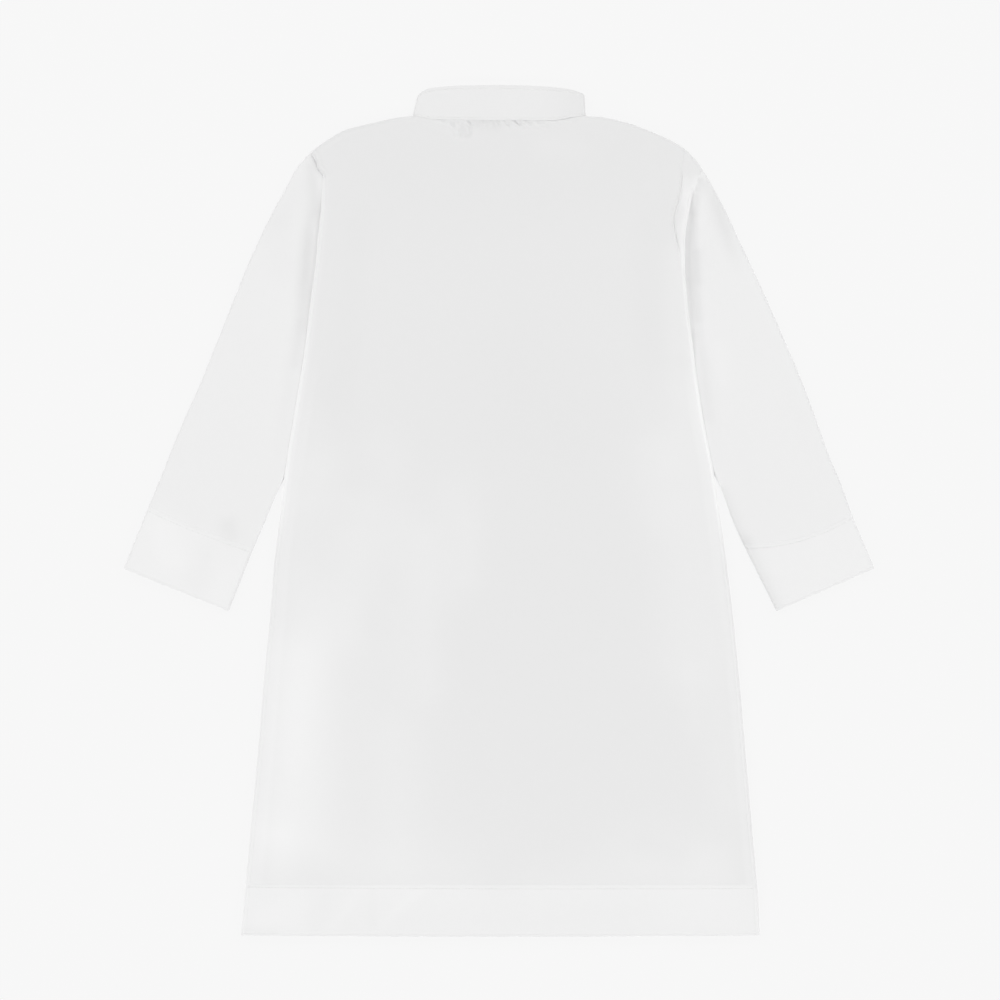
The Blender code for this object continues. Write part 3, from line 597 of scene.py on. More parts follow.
@dataclass(frozen=True)
class ClothFinish:
    """Fine plain-woven white shirting, coloured between greyest and whitest by a tone that is
    whiter where the cloth is doubled and holds painted shade and painted highlights.
    """

    name: str
    greyest: tuple[float, float, float] = (0.640, 0.640, 0.640)
    whitest: tuple[float, float, float] = (0.920, 0.920, 0.920)
    thread_pitch: float = 0.34
    thread_depth: float = 0.035
    slub_length: float = 9.0
    slub_width: float = 2.2        # in threads
    slub_rise: float = 0.4         # beside the weave's own rise
    slub_tone: float = 0.05
    thread_tone: float = 0.03
    mean_weave: float = 0.4

    def build(self) -> Material:
        """Makes the material.

        Returns:
            A material that reads the cloth's own UV map and its attribute of tone, which holds
            painted shade and painted highlights.
        """
        material = bpy.data.materials.new(self.name)
        sheet = NodeSheet(material)
        uv = sheet.add("ShaderNodeUVMap", uv_map="cloth").outputs[0]
        split = sheet.add("ShaderNodeSeparateXYZ")
        sheet.link(uv, split.inputs[0])
        turn = math.pi / (self.thread_pitch * MM)
        across, along = (
            sheet.maths("SINE", sheet.maths("MULTIPLY", split.outputs[i], turn)) for i in (0, 1)
        )
        weave = sheet.maths("ABSOLUTE", sheet.maths("MULTIPLY", across, along))
        slub = sheet.maths("ADD", *(self.slubs(sheet, uv, way) for way in (True, False)))
        height = sheet.maths("MULTIPLY_ADD", slub, self.slub_rise, weave)
        sheet.bump(height, 0.35, self.thread_depth)
        # The cloth's tone, painted shade and painted highlights included
        tone_and_shade = sheet.add("ShaderNodeAttribute", attribute_name="tone_and_shade").outputs["Fac"]
        uneven = sheet.maths("MULTIPLY_ADD", slub, self.slub_tone / 2.0, -self.slub_tone / 2.0)
        threads = sheet.maths(
            "MULTIPLY_ADD", weave, self.thread_tone, -self.mean_weave * self.thread_tone
        )
        factor = sheet.maths("ADD", sheet.maths("ADD", tone_and_shade, uneven), threads)
        sheet.colour(factor, self.greyest, self.whitest)
        sheet.set(Roughness=0.78, Sheen_Weight=0.12, Sheen_Roughness=0.45)
        sheet.set(Specular_IOR_Level=0.32)
        return material

    def slubs(self, sheet: NodeSheet, uv: Socket, lengthwise: bool) -> Socket:
        """Threads that are thicker and thinner along their length.

        Args:
            sheet: the material.
            uv: the cloth's own coordinates.
            lengthwise: whether the threads run along the cloth or across it.

        Returns:
            A value of about 0.5, uneven from thread to thread.
        """
        fine, long = 1.0 / (self.slub_width * self.thread_pitch * MM), 1.0 / (self.slub_length * MM)
        scale = (fine, long, 1.0) if lengthwise else (long, fine, 1.0)
        mapping = sheet.add("ShaderNodeMapping", Scale=scale)
        sheet.link(uv, mapping.inputs["Vector"])
        texture = sheet.add("ShaderNodeTexNoise", noise_dimensions="2D", Scale=1.0, Detail=1.0)
        sheet.link(mapping.outputs[0], texture.inputs["Vector"])
        return texture.outputs[0]


@dataclass(frozen=True)
class ThreadFinish:
    """White sewing thread, a little glossier than the cloth, with its twist as a fine bump."""

    name: str = "sewing_thread"
    colour: tuple[float, float, float] = (0.83, 0.83, 0.825)
    darkening: float = 0.94
    twist: float = 0.22
    twist_depth: float = 0.04
    bands_per_length: float = 0.314    # a wave texture's scale for one band in one unit

    def build(self) -> Material:
        """Makes the material."""
        material = bpy.data.materials.new(self.name)
        sheet = NodeSheet(material)
        wave = sheet.add("ShaderNodeTexWave", bands_direction="DIAGONAL",
                         Scale=self.bands_per_length / (self.twist * MM))
        sheet.link(sheet.add("ShaderNodeTexCoord").outputs["Object"], wave.inputs["Vector"])
        sheet.bump(wave.outputs["Fac"], 0.4, self.twist_depth)
        darker = tuple(self.darkening * value for value in self.colour)
        sheet.colour(wave.outputs["Fac"], darker, self.colour)
        sheet.set(Roughness=0.5, Sheen_Weight=0.1)
        return material


@dataclass(frozen=True)
class ButtonFinish:
    """Polished white resin with a faint pearly cloud in it."""

    name: str = "pearl_resin"
    light: tuple[float, float, float] = (0.86, 0.86, 0.84)
    dark: tuple[float, float, float] = (0.74, 0.745, 0.735)
    cloud: float = 3.0
    roughness: Span = (0.16, 0.12)     # at the least, and what the cloud adds

    def build(self) -> Material:
        """Makes the material."""
        material = bpy.data.materials.new(self.name)
        sheet = NodeSheet(material)
        cloud = sheet.add("ShaderNodeTexNoise", Scale=1.0 / (self.cloud * MM), Detail=3.0,
                          Distortion=1.2)
        sheet.link(sheet.add("ShaderNodeTexCoord").outputs["Object"], cloud.inputs["Vector"])
        sheet.colour(cloud.outputs[0], self.dark, self.light)
        least, more = self.roughness
        rough = sheet.maths("MULTIPLY_ADD", cloud.outputs[0], more, least)
        sheet.link(rough, sheet.shader.inputs["Roughness"])
        sheet.set(Coat_Weight=0.5, Coat_Roughness=0.1, Subsurface_Weight=0.08)
        return material


# Meshes of cloth

def aside(line: Array) -> Array:
    """The direction straight along X at each point of a line."""
    return np.broadcast_to((1.0, 0.0, 0.0), line.shape)


class Outward(Enum):
    """Which of a surface's faces is known to point outwards."""

    HIGHEST_UP = 1.0
    LOWEST_DOWN = -1.0


def alone(piece: Piece) -> None:
    """Makes a piece the only selected one, and the active one."""
    bpy.ops.object.select_all(action="DESELECT")
    piece.select_set(True)
    bpy.context.view_layer.objects.active = piece


@contextmanager
def editing(piece: Piece,
            wanted: Callable[[bpy.types.MeshPolygon], bool] | None = None) -> Iterator[None]:
    """Stays in edit mode with all of a piece selected, or only some of its faces.

    Args:
        piece: the piece.
        wanted: tells of a face whether it is one of them.

    Yields:
        Nothing, while the piece is in edit mode.
    """
    alone(piece)
    bpy.ops.object.mode_set(mode="EDIT")
    bpy.ops.mesh.select_mode(type="FACE")
    bpy.ops.mesh.select_all(action="DESELECT" if wanted else "SELECT")
    if wanted:
        bpy.ops.object.mode_set(mode="OBJECT")
        for face in piece.data.polygons:
            face.select = bool(wanted(face))
        bpy.ops.object.mode_set(mode="EDIT")
    yield
    bpy.ops.object.mode_set(mode="OBJECT")


def apply_all(piece: Piece) -> None:
    """Applies a piece's modifiers in order."""
    alone(piece)
    for modifier in list(piece.modifiers):
        bpy.ops.object.modifier_apply(modifier=modifier.name)


def wall_apply(piece: Piece, wall: float) -> None:
    """Gives a surface its thickness, inwards.

    Args:
        piece: the surface, which may have a group of the points where it is doubled.
        wall: the thickness, in millimetres, and that of doubled cloth where it has the group.
    """
    solidify = piece.modifiers.new("cloth wall", "SOLIDIFY")
    solidify.thickness = wall * MM
    solidify.offset = -1.0
    solidify.use_even_offset = True
    solidify.use_quality_normals = True
    if piece.vertex_groups:
        solidify.vertex_group = piece.vertex_groups[0].name
        solidify.thickness_vertex_group = SINGLE / DOUBLED
    apply_all(piece)
    bpy.ops.object.shade_smooth_by_angle(angle=math.radians(50.0))


@dataclass
class Weft:
    """A cloth surface as rows of points, with its tone and painted shading and the places left
    open.
    """

    points: Array                  # rows, columns, 3, in millimetres
    # The tone, with painted shade and painted highlights
    tone_and_shade: Array               # rows, columns
    doubled: Array | None = None   # rows, columns, true where the cloth is doubled
    open_faces: Array | None = None
    ring: bool = False             # whether its last column meets its first

    def make(self, name: str, outward: Outward, wall: float, finish: Material) -> Piece:
        """Makes a finished piece of cloth.

        Args:
            name: the piece's name.
            outward: which face is known to point outwards.
            wall: its thickness, in millimetres.
            finish: its material.

        Returns:
            The piece.
        """
        piece = self.lay(name, outward)
        wall_apply(piece, wall)
        piece.data.materials.append(finish)
        return piece

    def lay(self, name: str, outward: Outward) -> Piece:
        """Makes the surface, its UV map in real lengths of cloth, and its attributes.

        Args:
            name: the piece's name.
            outward: which face is known to point outwards.

        Returns:
            The surface, still without a thickness.
        """
        rows, columns = self.tone_and_shade.shape
        bpy.ops.object.select_all(action="DESELECT")
        bpy.ops.mesh.primitive_grid_add(
            x_subdivisions=columns - 1, y_subdivisions=rows - 1, size=1.0, calc_uvs=True
        )
        piece = bpy.context.object
        mesh = piece.data
        piece.name = mesh.name = name
        places = np.empty(len(mesh.vertices) * 3, np.float32)
        mesh.vertices.foreach_get("co", places)
        share = places.reshape(-1, 3) + 0.5
        column = np.rint(share[:, 0] * (columns - 1)).astype(int)
        row = np.rint(share[:, 1] * (rows - 1)).astype(int)
        laid = (self.points[row, column] * MM).astype(np.float32)
        mesh.vertices.foreach_set("co", laid.ravel())
        corners = np.empty(len(mesh.loops), np.int32)
        mesh.loops.foreach_get("vertex_index", corners)
        mesh.uv_layers[0].name = "cloth"
        flat = self.flat_lengths()[row, column][corners].astype(np.float32)
        mesh.uv_layers[0].data.foreach_set("uv", flat.ravel())
        # The tone, painted shade and highlights included, as a point attribute
        tone = mesh.attributes.new("tone_and_shade", "FLOAT", "POINT")
        tone.data.foreach_set("value", self.tone_and_shade[row, column].astype(np.float32))
        if self.doubled is not None:
            group = piece.vertex_groups.new(name="doubled cloth")
            chosen = np.nonzero(self.doubled[row, column])[0]
            group.add([int(i) for i in chosen], 1.0, "REPLACE")
        if self.open_faces is not None:
            self.open_up(piece, row, column)
        if self.ring:
            with editing(piece):
                bpy.ops.mesh.remove_doubles(threshold=0.001 * MM)
        self.turn(piece, outward)
        return piece

    def flat_lengths(self) -> Array:
        """Measures the cloth.

        Returns:
            Each point's distances along and across the cloth, in metres.
        """
        across = np.linalg.norm(np.diff(self.points, axis=1), axis=2)
        along = np.linalg.norm(np.diff(self.points, axis=0), axis=2)
        u = np.pad(np.cumsum(across, axis=1), ((0, 0), (1, 0)))
        v = np.pad(np.cumsum(along, axis=0), ((1, 0), (0, 0)))
        middle = u.shape[1] // 2
        u = u - u[:, middle:middle + 1]
        v = np.broadcast_to(v[:, middle:middle + 1], v.shape)
        return np.stack([u, v], axis=2) * MM

    def open_up(self, piece: Piece, row: Array, column: Array) -> None:
        """Takes out the faces that are left open.

        Args:
            piece: the surface.
            row: the row of each of its points.
            column: the column of each of its points.
        """
        def is_open(face: bpy.types.MeshPolygon) -> bool:
            """Whether a face, known by its lowest row and column, is one of them."""
            corners = list(face.vertices)
            return self.open_faces[row[corners].min(), column[corners].min()]

        with editing(piece, is_open):
            bpy.ops.mesh.delete(type="FACE")

    @staticmethod
    def turn(piece: Piece, outward: Outward) -> None:
        """Turns the faces so that the known one points outwards."""
        known = max(piece.data.polygons, key=lambda face: face.center.z * outward.value)
        if known.normal.z * outward.value < 0.0:
            with editing(piece):
                bpy.ops.mesh.flip_normals()


# The body

@dataclass
class BodyForm:
    """The body's outline in plan, and the heights of its upper and lower faces."""

    edge_loft: float = 4.4
    middle_loft: float = 5.1
    loft_width: float = 25.0
    shoulder_radius: float = 2.4
    bow_start: float = 0.45        # the part of the height where sections begin to bend
    bow_power: float = 1.5
    sag_ends: float = 0.2          # the part of the height where the hem's sag is gone
    lifts: Span = (8.0, 86.0)      # where the sleeves begin to raise the side edges
    lift_fades: float = 33.0
    lift_ends: Span = (246.0, 244.0)
    front_ramp: float = 27.0
    front_margin: float = 1.0
    back_ramp: float = 38.0
    placket_drop: float = 0.3
    placket_rise: float = 3.3
    placket_ramp: float = 8.0
    placket_margin: float = 1.1
    fullness: float = 0.7          # of the back, over the placket
    full_half: Span = (16.0, 46.0)       # out from the middle
    full_below: Span = (-50.0, -14.0)    # up from the placket's lower end
    full_above: Span = (4.0, 30.0)       # up from its top
    hem_step: float = 0.35
    hem_step_width: float = 1.4
    hem_groove: Band = Band(0.28, 0.9)
    hem_pull: Band = Band(0.10, 5.0)
    hem_puckers: Ripple = Ripple(1.0, 7.0, 30.0, 3.1)
    hem_edge: Band = Band(1.7, 1.1)
    hem_pressed: Band = Band(0.14, 0.6, 3.3)
    front_row: Band = Band(ROW_SINKS, 0.8, HEM_ROW)
    shoulder_pull: Band = Band(0.10, 3.0, 4.0)
    shoulder_puckers: Ripple = Ripple(1.0, 5.0, 40.0, 8.4)
    waves: tuple[Ripple, ...] = table(Ripple, (0.16, 46, 90, 1.7), (0.07, 17, 40, 5.3))
    waves_begin: Span = (3.0, 18.0)
    neck_depth: Span = (0.05, 0.30)
    neck_deepens: Span = (25.0, 50.0)
    neck_seam: Band = Band(1.0, 1.6)
    side_depth: Span = (0.05, 0.70)
    side_shows: tuple[float, ...] = (182.0, 200.0, 241.0, 251.0)    # where it begins and ends
    side_seam: Band = Band(1.0, 0.55)
    arc_count: int = 5

    def __post_init__(self) -> None:
        """Draws the outline's curves."""
        y, left, right, right_seam = zip(*BODY_EDGES)
        left_seam = [SIDE_SEAM] * len(y)
        self.edge = {Side.LEFT: SmoothLine(y, left), Side.RIGHT: SmoothLine(y, right)}
        self.seam = {Side.LEFT: SmoothLine(y, left_seam), Side.RIGHT: SmoothLine(y, right_seam)}
        self.tuck = {
            side: SmoothLine([row.inner_y for row in rows], [row.inner_x for row in rows])
            for side, rows in SLEEVES.items()
        }
        self.left_shoulder, self.back_neck, self.right_shoulder = (
            SmoothLine(*zip(*line)) for line in (LEFT_SHOULDER, BACK_NECK, RIGHT_SHOULDER)
        )
        self.height = LEFT_TIP[1] - HEM_Y
        self.placket_top = float(self.front_neck(0.0)) - self.placket_drop
        self.placket_end = self.placket_top - PLACKET_LENGTH
        self.placket_low = self.placket_end - self.placket_margin

    def front_neck(self, x: Array | float) -> Array:
        """The front neckline, a deep curve between the neck's sides."""
        share = np.minimum(np.abs(x) / NECK_HALF, 1.0)
        return LEFT_SHOULDER[-1][1] - NECK_DIP * (1.0 - share**NECK_CURVE)

    def top(self, x: Array, front: bool) -> Array:
        """The upper edge of a panel: the shoulders, and the neckline between them."""
        neck = self.front_neck(x) if front else self.back_neck(x)
        edge = np.where(x < -NECK_HALF, self.left_shoulder(x), neck - SEAM)
        return np.where(x > NECK_HALF, self.right_shoulder(x), edge)

    @staticmethod
    def past_neck(top_x: Array) -> Array:
        """0 below the neckline and 1 below the shoulders."""
        return smooth(np.abs(top_x), NECK_HALF - NECK_CORNER, NECK_HALF + NECK_CORNER)

    def inwards(self, x: Array, y: Array) -> tuple[Array, Array]:
        """The distances in from the left and the right side edge."""
        return x - self.edge[Side.LEFT](y), self.edge[Side.RIGHT](y) - x

    def side_lift(self, y: Array, side: Side) -> Array:
        """How far the body's side edge is raised by the sleeve under it."""
        end = self.lift_ends[side is Side.RIGHT]
        return SLEEVE_LIFT * smooth(y, *self.lifts) * fade(y, end - self.lift_fades, end)

    def raised(self, x: Array, y: Array, ramp: float, margin: float) -> Array:
        """The lift of the cloth by the sleeves that reach in under the side edges.

        Args:
            x: the points' x.
            y: the points' y.
            ramp: how wide the cloth's slope down from a sleeve is.
            margin: how far past the sleeve it begins.

        Returns:
            The lift at each point.
        """
        lift = 0.0
        for side, inward in zip(Side, self.inwards(x, y)):
            tucked = (self.tuck[side](y) - self.edge[side](y)) * side.value
            past = inward - (np.maximum(tucked, 0.0) + margin)
            lift = lift + self.side_lift(y, side) * fade(past, 0.0, ramp)
        return lift

    def under(self, x: Array, y: Array) -> Array:
        """The height of the front's lower face, on the ground but for what lies under it."""
        margin, ramp = self.placket_margin, self.placket_ramp
        over = fade(np.abs(x), PLACKET_HALF + margin, PLACKET_HALF + ramp)
        over = over * smooth(y, self.placket_low - 2.0 * ramp, self.placket_low)
        return self.raised(x, y, self.front_ramp, self.front_margin) + self.placket_rise * over

    def over(self, x: Array, y: Array) -> Array:
        """The height of the back's upper face, with its large folds and its fine creases."""
        side = np.minimum(*self.inwards(x, y))
        inward = smooth(side, 0.0, self.loft_width)
        height = self.raised(x, y, self.back_ramp, 0.0)
        height = height + mix(self.edge_loft, self.middle_loft, inward)
        full = fade(np.abs(x), *self.full_half)
        full = full * smooth(y, *(self.placket_low + above for above in self.full_below))
        full = full * fade(y, *(self.placket_top + above for above in self.full_above))
        folds = total(BACK_FOLDS, x, y) * inward * (1.0 - full)
        hem = self.hem_step * fade(y, HEM_TOP - self.hem_step_width, HEM_TOP)
        return height + self.fullness * full + folds + hem + self.creases(x, y, side)

    def creases(self, x: Array, y: Array, side: Array) -> Array:
        """Fine creases, puckers and the slight unevenness of worn-in cloth.

        Args:
            x: the points' x.
            y: the points' y.
            side: their distance in from the nearer side edge.

        Returns:
            How far the cloth is lifted at each point.
        """
        fine = total(NECK_FOLDS + SHOULDER_FOLDS + HEM_FOLDS, x, y)
        seam = y - HEM_Y - HEM_SEAM
        fine = fine - self.hem_groove.at(seam) + self.hem_pull.at(seam) * self.hem_puckers.at(x, y)
        shoulder = self.shoulder_pull.at(self.top(x, False) - y)
        fine = fine + shoulder * self.shoulder_puckers.at(x, y)
        return fine + total(self.waves, x, y) * smooth(side, *self.waves_begin)

    def end(self, part: Array, side: Side) -> tuple[Array, Array]:
        """The x and y of a side's end of the section at each part of the body's height."""
        tip = LEFT_TIP if side is Side.LEFT else RIGHT_TIP
        y = mix(HEM_Y, tip[1], part)
        return self.edge[side](y), y

    def plan(self, part: Array, x: Array, front: bool) -> tuple[Array, Array]:
        """The y of each section's points, and the top edge's x above them.

        Args:
            part: the part of the body's height, one for each row.
            x: the points' x.
            front: whether they lie on the front.

        Returns:
            Their y, since the sections bend as the top edge does, and the x above them.
        """
        (left_x, left_y), (right_x, right_y) = (self.end(part, side) for side in Side)
        across = (x - left_x) / (right_x - left_x)
        top_x = mix(LEFT_TIP[0], RIGHT_TIP[0], across)
        bow = self.top(top_x, front) - mix(LEFT_TIP[1], RIGHT_TIP[1], across)
        bend = np.maximum((part - self.bow_start) / (1.0 - self.bow_start), 0.0) ** self.bow_power
        sag = HEM_SAG * arch(across) * fade(part, 0.0, self.sag_ends)
        return mix(left_y, right_y, across) + bow * bend - sag, top_x

    def face(self, part: Array, x: Array, front: bool) -> Array:
        """Points of one of the body's faces, drawn in to the seam along the shoulders.

        Args:
            part: the part of the body's height, one for each row.
            x: the points' x.
            front: whether it is the front's lower face or the back's upper one.

        Returns:
            The points, row by row.
        """
        y, top_x = self.plan(part, x, front)
        from_hem, below = part * self.height, (1.0 - part) * self.height
        if front:
            height = self.under(x, y) + self.front_row.at(from_hem) + total(FRONT_FOLDS, x, y)
            middle = (height + self.over(x, y) - SEAM) / 2.0
        else:
            height = self.over(x, y)
            middle = (height + self.under(x, y) + SEAM) / 2.0
            depth = mix(*self.neck_depth, smooth(top_x, *self.neck_deepens))
            height = height - depth * self.neck_seam.at(below) * (1.0 - self.past_neck(top_x))
            height = height - self.hem_edge.at(from_hem) - self.hem_pressed.at(from_hem)
        rounded = mix(middle, height, quarter(below, self.shoulder_radius))
        height = mix(height, rounded, self.past_neck(top_x))
        return np.stack([x + 0.0 * y, y, height], axis=2)

    def sunk(self, points: Array, distance: Array) -> Array:
        """How far cloth sinks at a side seam, most where the right armhole's seam shows.

        Args:
            points: the cloth's points.
            distance: their distance from the seam.

        Returns:
            How deep each of them lies.
        """
        begins, shown, hides, hidden = self.side_shows
        x, y = points[..., 0], points[..., 1]
        shows = smooth(y, begins, shown) * fade(y, hides, hidden) * (x > 0.0)
        return mix(*self.side_depth, shows) * self.side_seam.at(distance)

    def rows(self) -> Array:
        """Parts of the body's height at which its sections are taken, closest at its seams."""
        # the hem's edge, its seam, the plain cloth, the gathers and the rounded shoulder
        gathers, neck, arc = (self.height - below for below in (26.0, 13.0, self.shoulder_radius))
        rows = np.concatenate([
            [0.0, 0.4, 0.8, 1.3, 1.9, 2.6, 3.3, 4.0, 5.0], steps(7.0, HEM_SEAM - 3.0, 3.5),
            HEM_SEAM + np.array([-3.0, -1.6, -0.8, 0.0, 0.8, 1.6, 3.0]),
            steps(HEM_SEAM + 6.0, gathers, 4.4), steps(gathers, neck, 1.8), steps(neck, arc, 0.8),
            self.height - arc_steps(self.shoulder_radius, self.arc_count)[::-1], [self.height],
        ])
        return rows / self.height


@dataclass
class BodyCloth:
    """The back and the front, two thin panels sewn at the shoulders and the sides."""

    form: BodyForm
    finish: Material
    edge_radius: float = 2.2
    arc_count: int = 5
    body_white: float = 0.54
    hem_white: float = 0.69
    hem_whitens: Span = (1.6, 0.4)
    allowance_white: float = 0.06
    allowances: tuple[Span, Span] = ((11.5, 12.5), (9.0, 9.8))
    allowance_fades: Span = (60.0, 140.0)
    # A painted highlight along the body's side edges, where it is and how strong
    rim: Band = Band(1.0, 3.4)
    rim_highlight: Span = (0.36, 0.22)     # below and above where it changes
    rim_highlight_changes: Span = (90.0, 180.0)
    rim_highlight_shows: tuple[float, ...] = (-50.0, 20.0, 236.0, 248.0)
    doubled_to: float = HEM_TOP - 0.7
    slit_length: float = 146.0
    slit_middle: float = 0.2           # a face of the slit has its middle this near to the centre

    def white(self, x: Array, y: Array) -> Array:
        """How white the cloth looks at each point: whiter where more layers lie together, with a
        painted highlight along the side edges and patches of painted shade and highlight.
        """
        hem = fade(y, *(HEM_TOP - below for below in self.hem_whitens))
        tone = mix(self.body_white, self.hem_white, hem)
        inwards = self.form.inwards(x, y)
        band = sum(fade(inward, *ends) for inward, ends in zip(inwards, self.allowances))
        band = band * fade(y, *self.allowance_fades) * (1.0 - hem)
        # The painted highlight along the side edges
        begins, shown, hides, hidden = self.rim_highlight_shows
        rim = self.rim.at(np.minimum(*inwards)) * smooth(y, begins, shown) * fade(y, hides, hidden)
        rim = rim * mix(*self.rim_highlight, smooth(y, *self.rim_highlight_changes))
        return tone + self.allowance_white * band + rim + total(BODY_PAINTED_SHADING, x, y)

    def make(self, name: str, points: Array, outward: Outward,
             open_faces: Array | None = None) -> Piece:
        """Makes a panel, doubled in its hem.

        Args:
            name: its name.
            points: its points.
            outward: which of its faces is known to point outwards.
            open_faces: the faces that are left open.

        Returns:
            The panel.
        """
        x, y = points[..., 0], points[..., 1]
        weft = Weft(points, self.white(x, y), y < self.doubled_to, open_faces)
        return weft.make(name, outward, DOUBLED, self.finish)

    def make_back(self) -> Piece:
        """Lays the back, from side seam to side seam and from the hem to the neck."""
        form = self.form
        part = form.rows()[:, None]
        ends = [(side, *form.end(part, side)) for side in Side]
        start, end = (x + side.value * (form.seam[side](y) + SEAM) for side, x, y in ends)
        first, last = float(start[-1, 0]), float(end[-1, 0])
        dense, close = NECK_HALF + 3.0, np.array([2.4, 1.6, 1.0, 0.6, 0.25, 0.0])
        tops = np.concatenate([
            steps(first, -dense, 2.5), steps(-dense, dense, 0.85),
            steps(dense, last - close[0], 2.5), last - close,
        ])
        points = form.face(part, mix(start, end, (tops - first) / (last - first)), False)
        from_seam = np.minimum(points[..., 0] - start, end - points[..., 0])
        points[..., 2] -= form.sunk(points, from_seam)
        return self.make("back_panel_cloth", points, Outward.HIGHEST_UP)

    def lip(self, part: Array, side: Side) -> Array:
        """The rounded side edge and the lip over it, from the seam round to the lower face.

        Args:
            part: parts of the body's height, one for each row.
            side: the side.

        Returns:
            The points, row by row.
        """
        form, radius = self.form, self.edge_radius
        x, y = form.end(part, side)
        seam = form.seam[side](y)
        arc = arc_steps(radius, self.arc_count)
        spread = np.array([0.0, 0.03, 0.07, 0.12, 0.2, 0.34, 0.5, 0.66, 0.83])
        over = np.concatenate([mix(seam, radius, spread), 0.0 * y + arc[::-1]], axis=1)
        flat_top, flat_low = (
            form.face(part, x + side.value * radius, front)[..., 2] for front in (False, True)
        )
        middle = (flat_top + flat_low) / 2.0
        top = form.face(part, x + side.value * over, False)
        edged = mix(middle, flat_top, quarter(over, radius))
        top[..., 2] = np.where(over < radius, edged, top[..., 2]) - form.sunk(top, seam - over)
        low = form.face(part, x + side.value * arc, True)
        low[..., 2] = mix(middle, flat_low, quarter(arc, radius))
        return np.concatenate([top, np.stack([x, y, middle], axis=2), low], axis=1)

    def low_columns(self, part: Array) -> Array:
        """The x of the front's lower-face points between its rounded edges."""
        left_x, right_x = (self.form.end(part, side)[0] for side in Side)
        inner, gap, near = self.edge_radius + 1.2, 9.0, 20.0
        stops = np.concatenate([[0.6], steps(11.5, near, 2.0), steps(near, 130.0, gap)])
        width = (right_x - left_x) / (RIGHT_TIP[0] - LEFT_TIP[0])
        left, right = (left_x + (sign * stops - LEFT_TIP[0]) * width for sign in (-1.0, 1.0))
        left = np.where(stops > near, np.maximum(left, left_x + inner + gap), -stops)[:, ::-1]
        right = np.where(stops > near, np.minimum(right, right_x - inner - gap), stops)
        spread = np.linspace(0.0, 1.0, 4)[:-1]
        first = mix(left_x + inner, left[:, :1], spread)
        last = mix(right_x - inner, right[:, -1:], spread)[:, ::-1]
        return np.concatenate([first, left, right, last], axis=1)

    def make_front(self) -> Piece:
        """Lays the front, with its lips over the side edges and the slit behind the placket."""
        form = self.form
        part = form.rows()[:, None]
        left, right = (self.lip(part, side) for side in Side)
        middle = form.face(part, self.low_columns(part), True)
        points = np.concatenate([left, middle, right[:, ::-1]], axis=1)
        x, y, z = (points[:-1, :-1, i] for i in range(3))
        centre = np.abs(x + points[:-1, 1:, 0]) < 2.0 * self.slit_middle
        slit = centre & (y > form.placket_top - self.slit_length) & (z < form.placket_rise + 1.0)
        return self.make("front_panel_cloth", points, Outward.LOWEST_DOWN, slit)


# The sleeves and cuffs

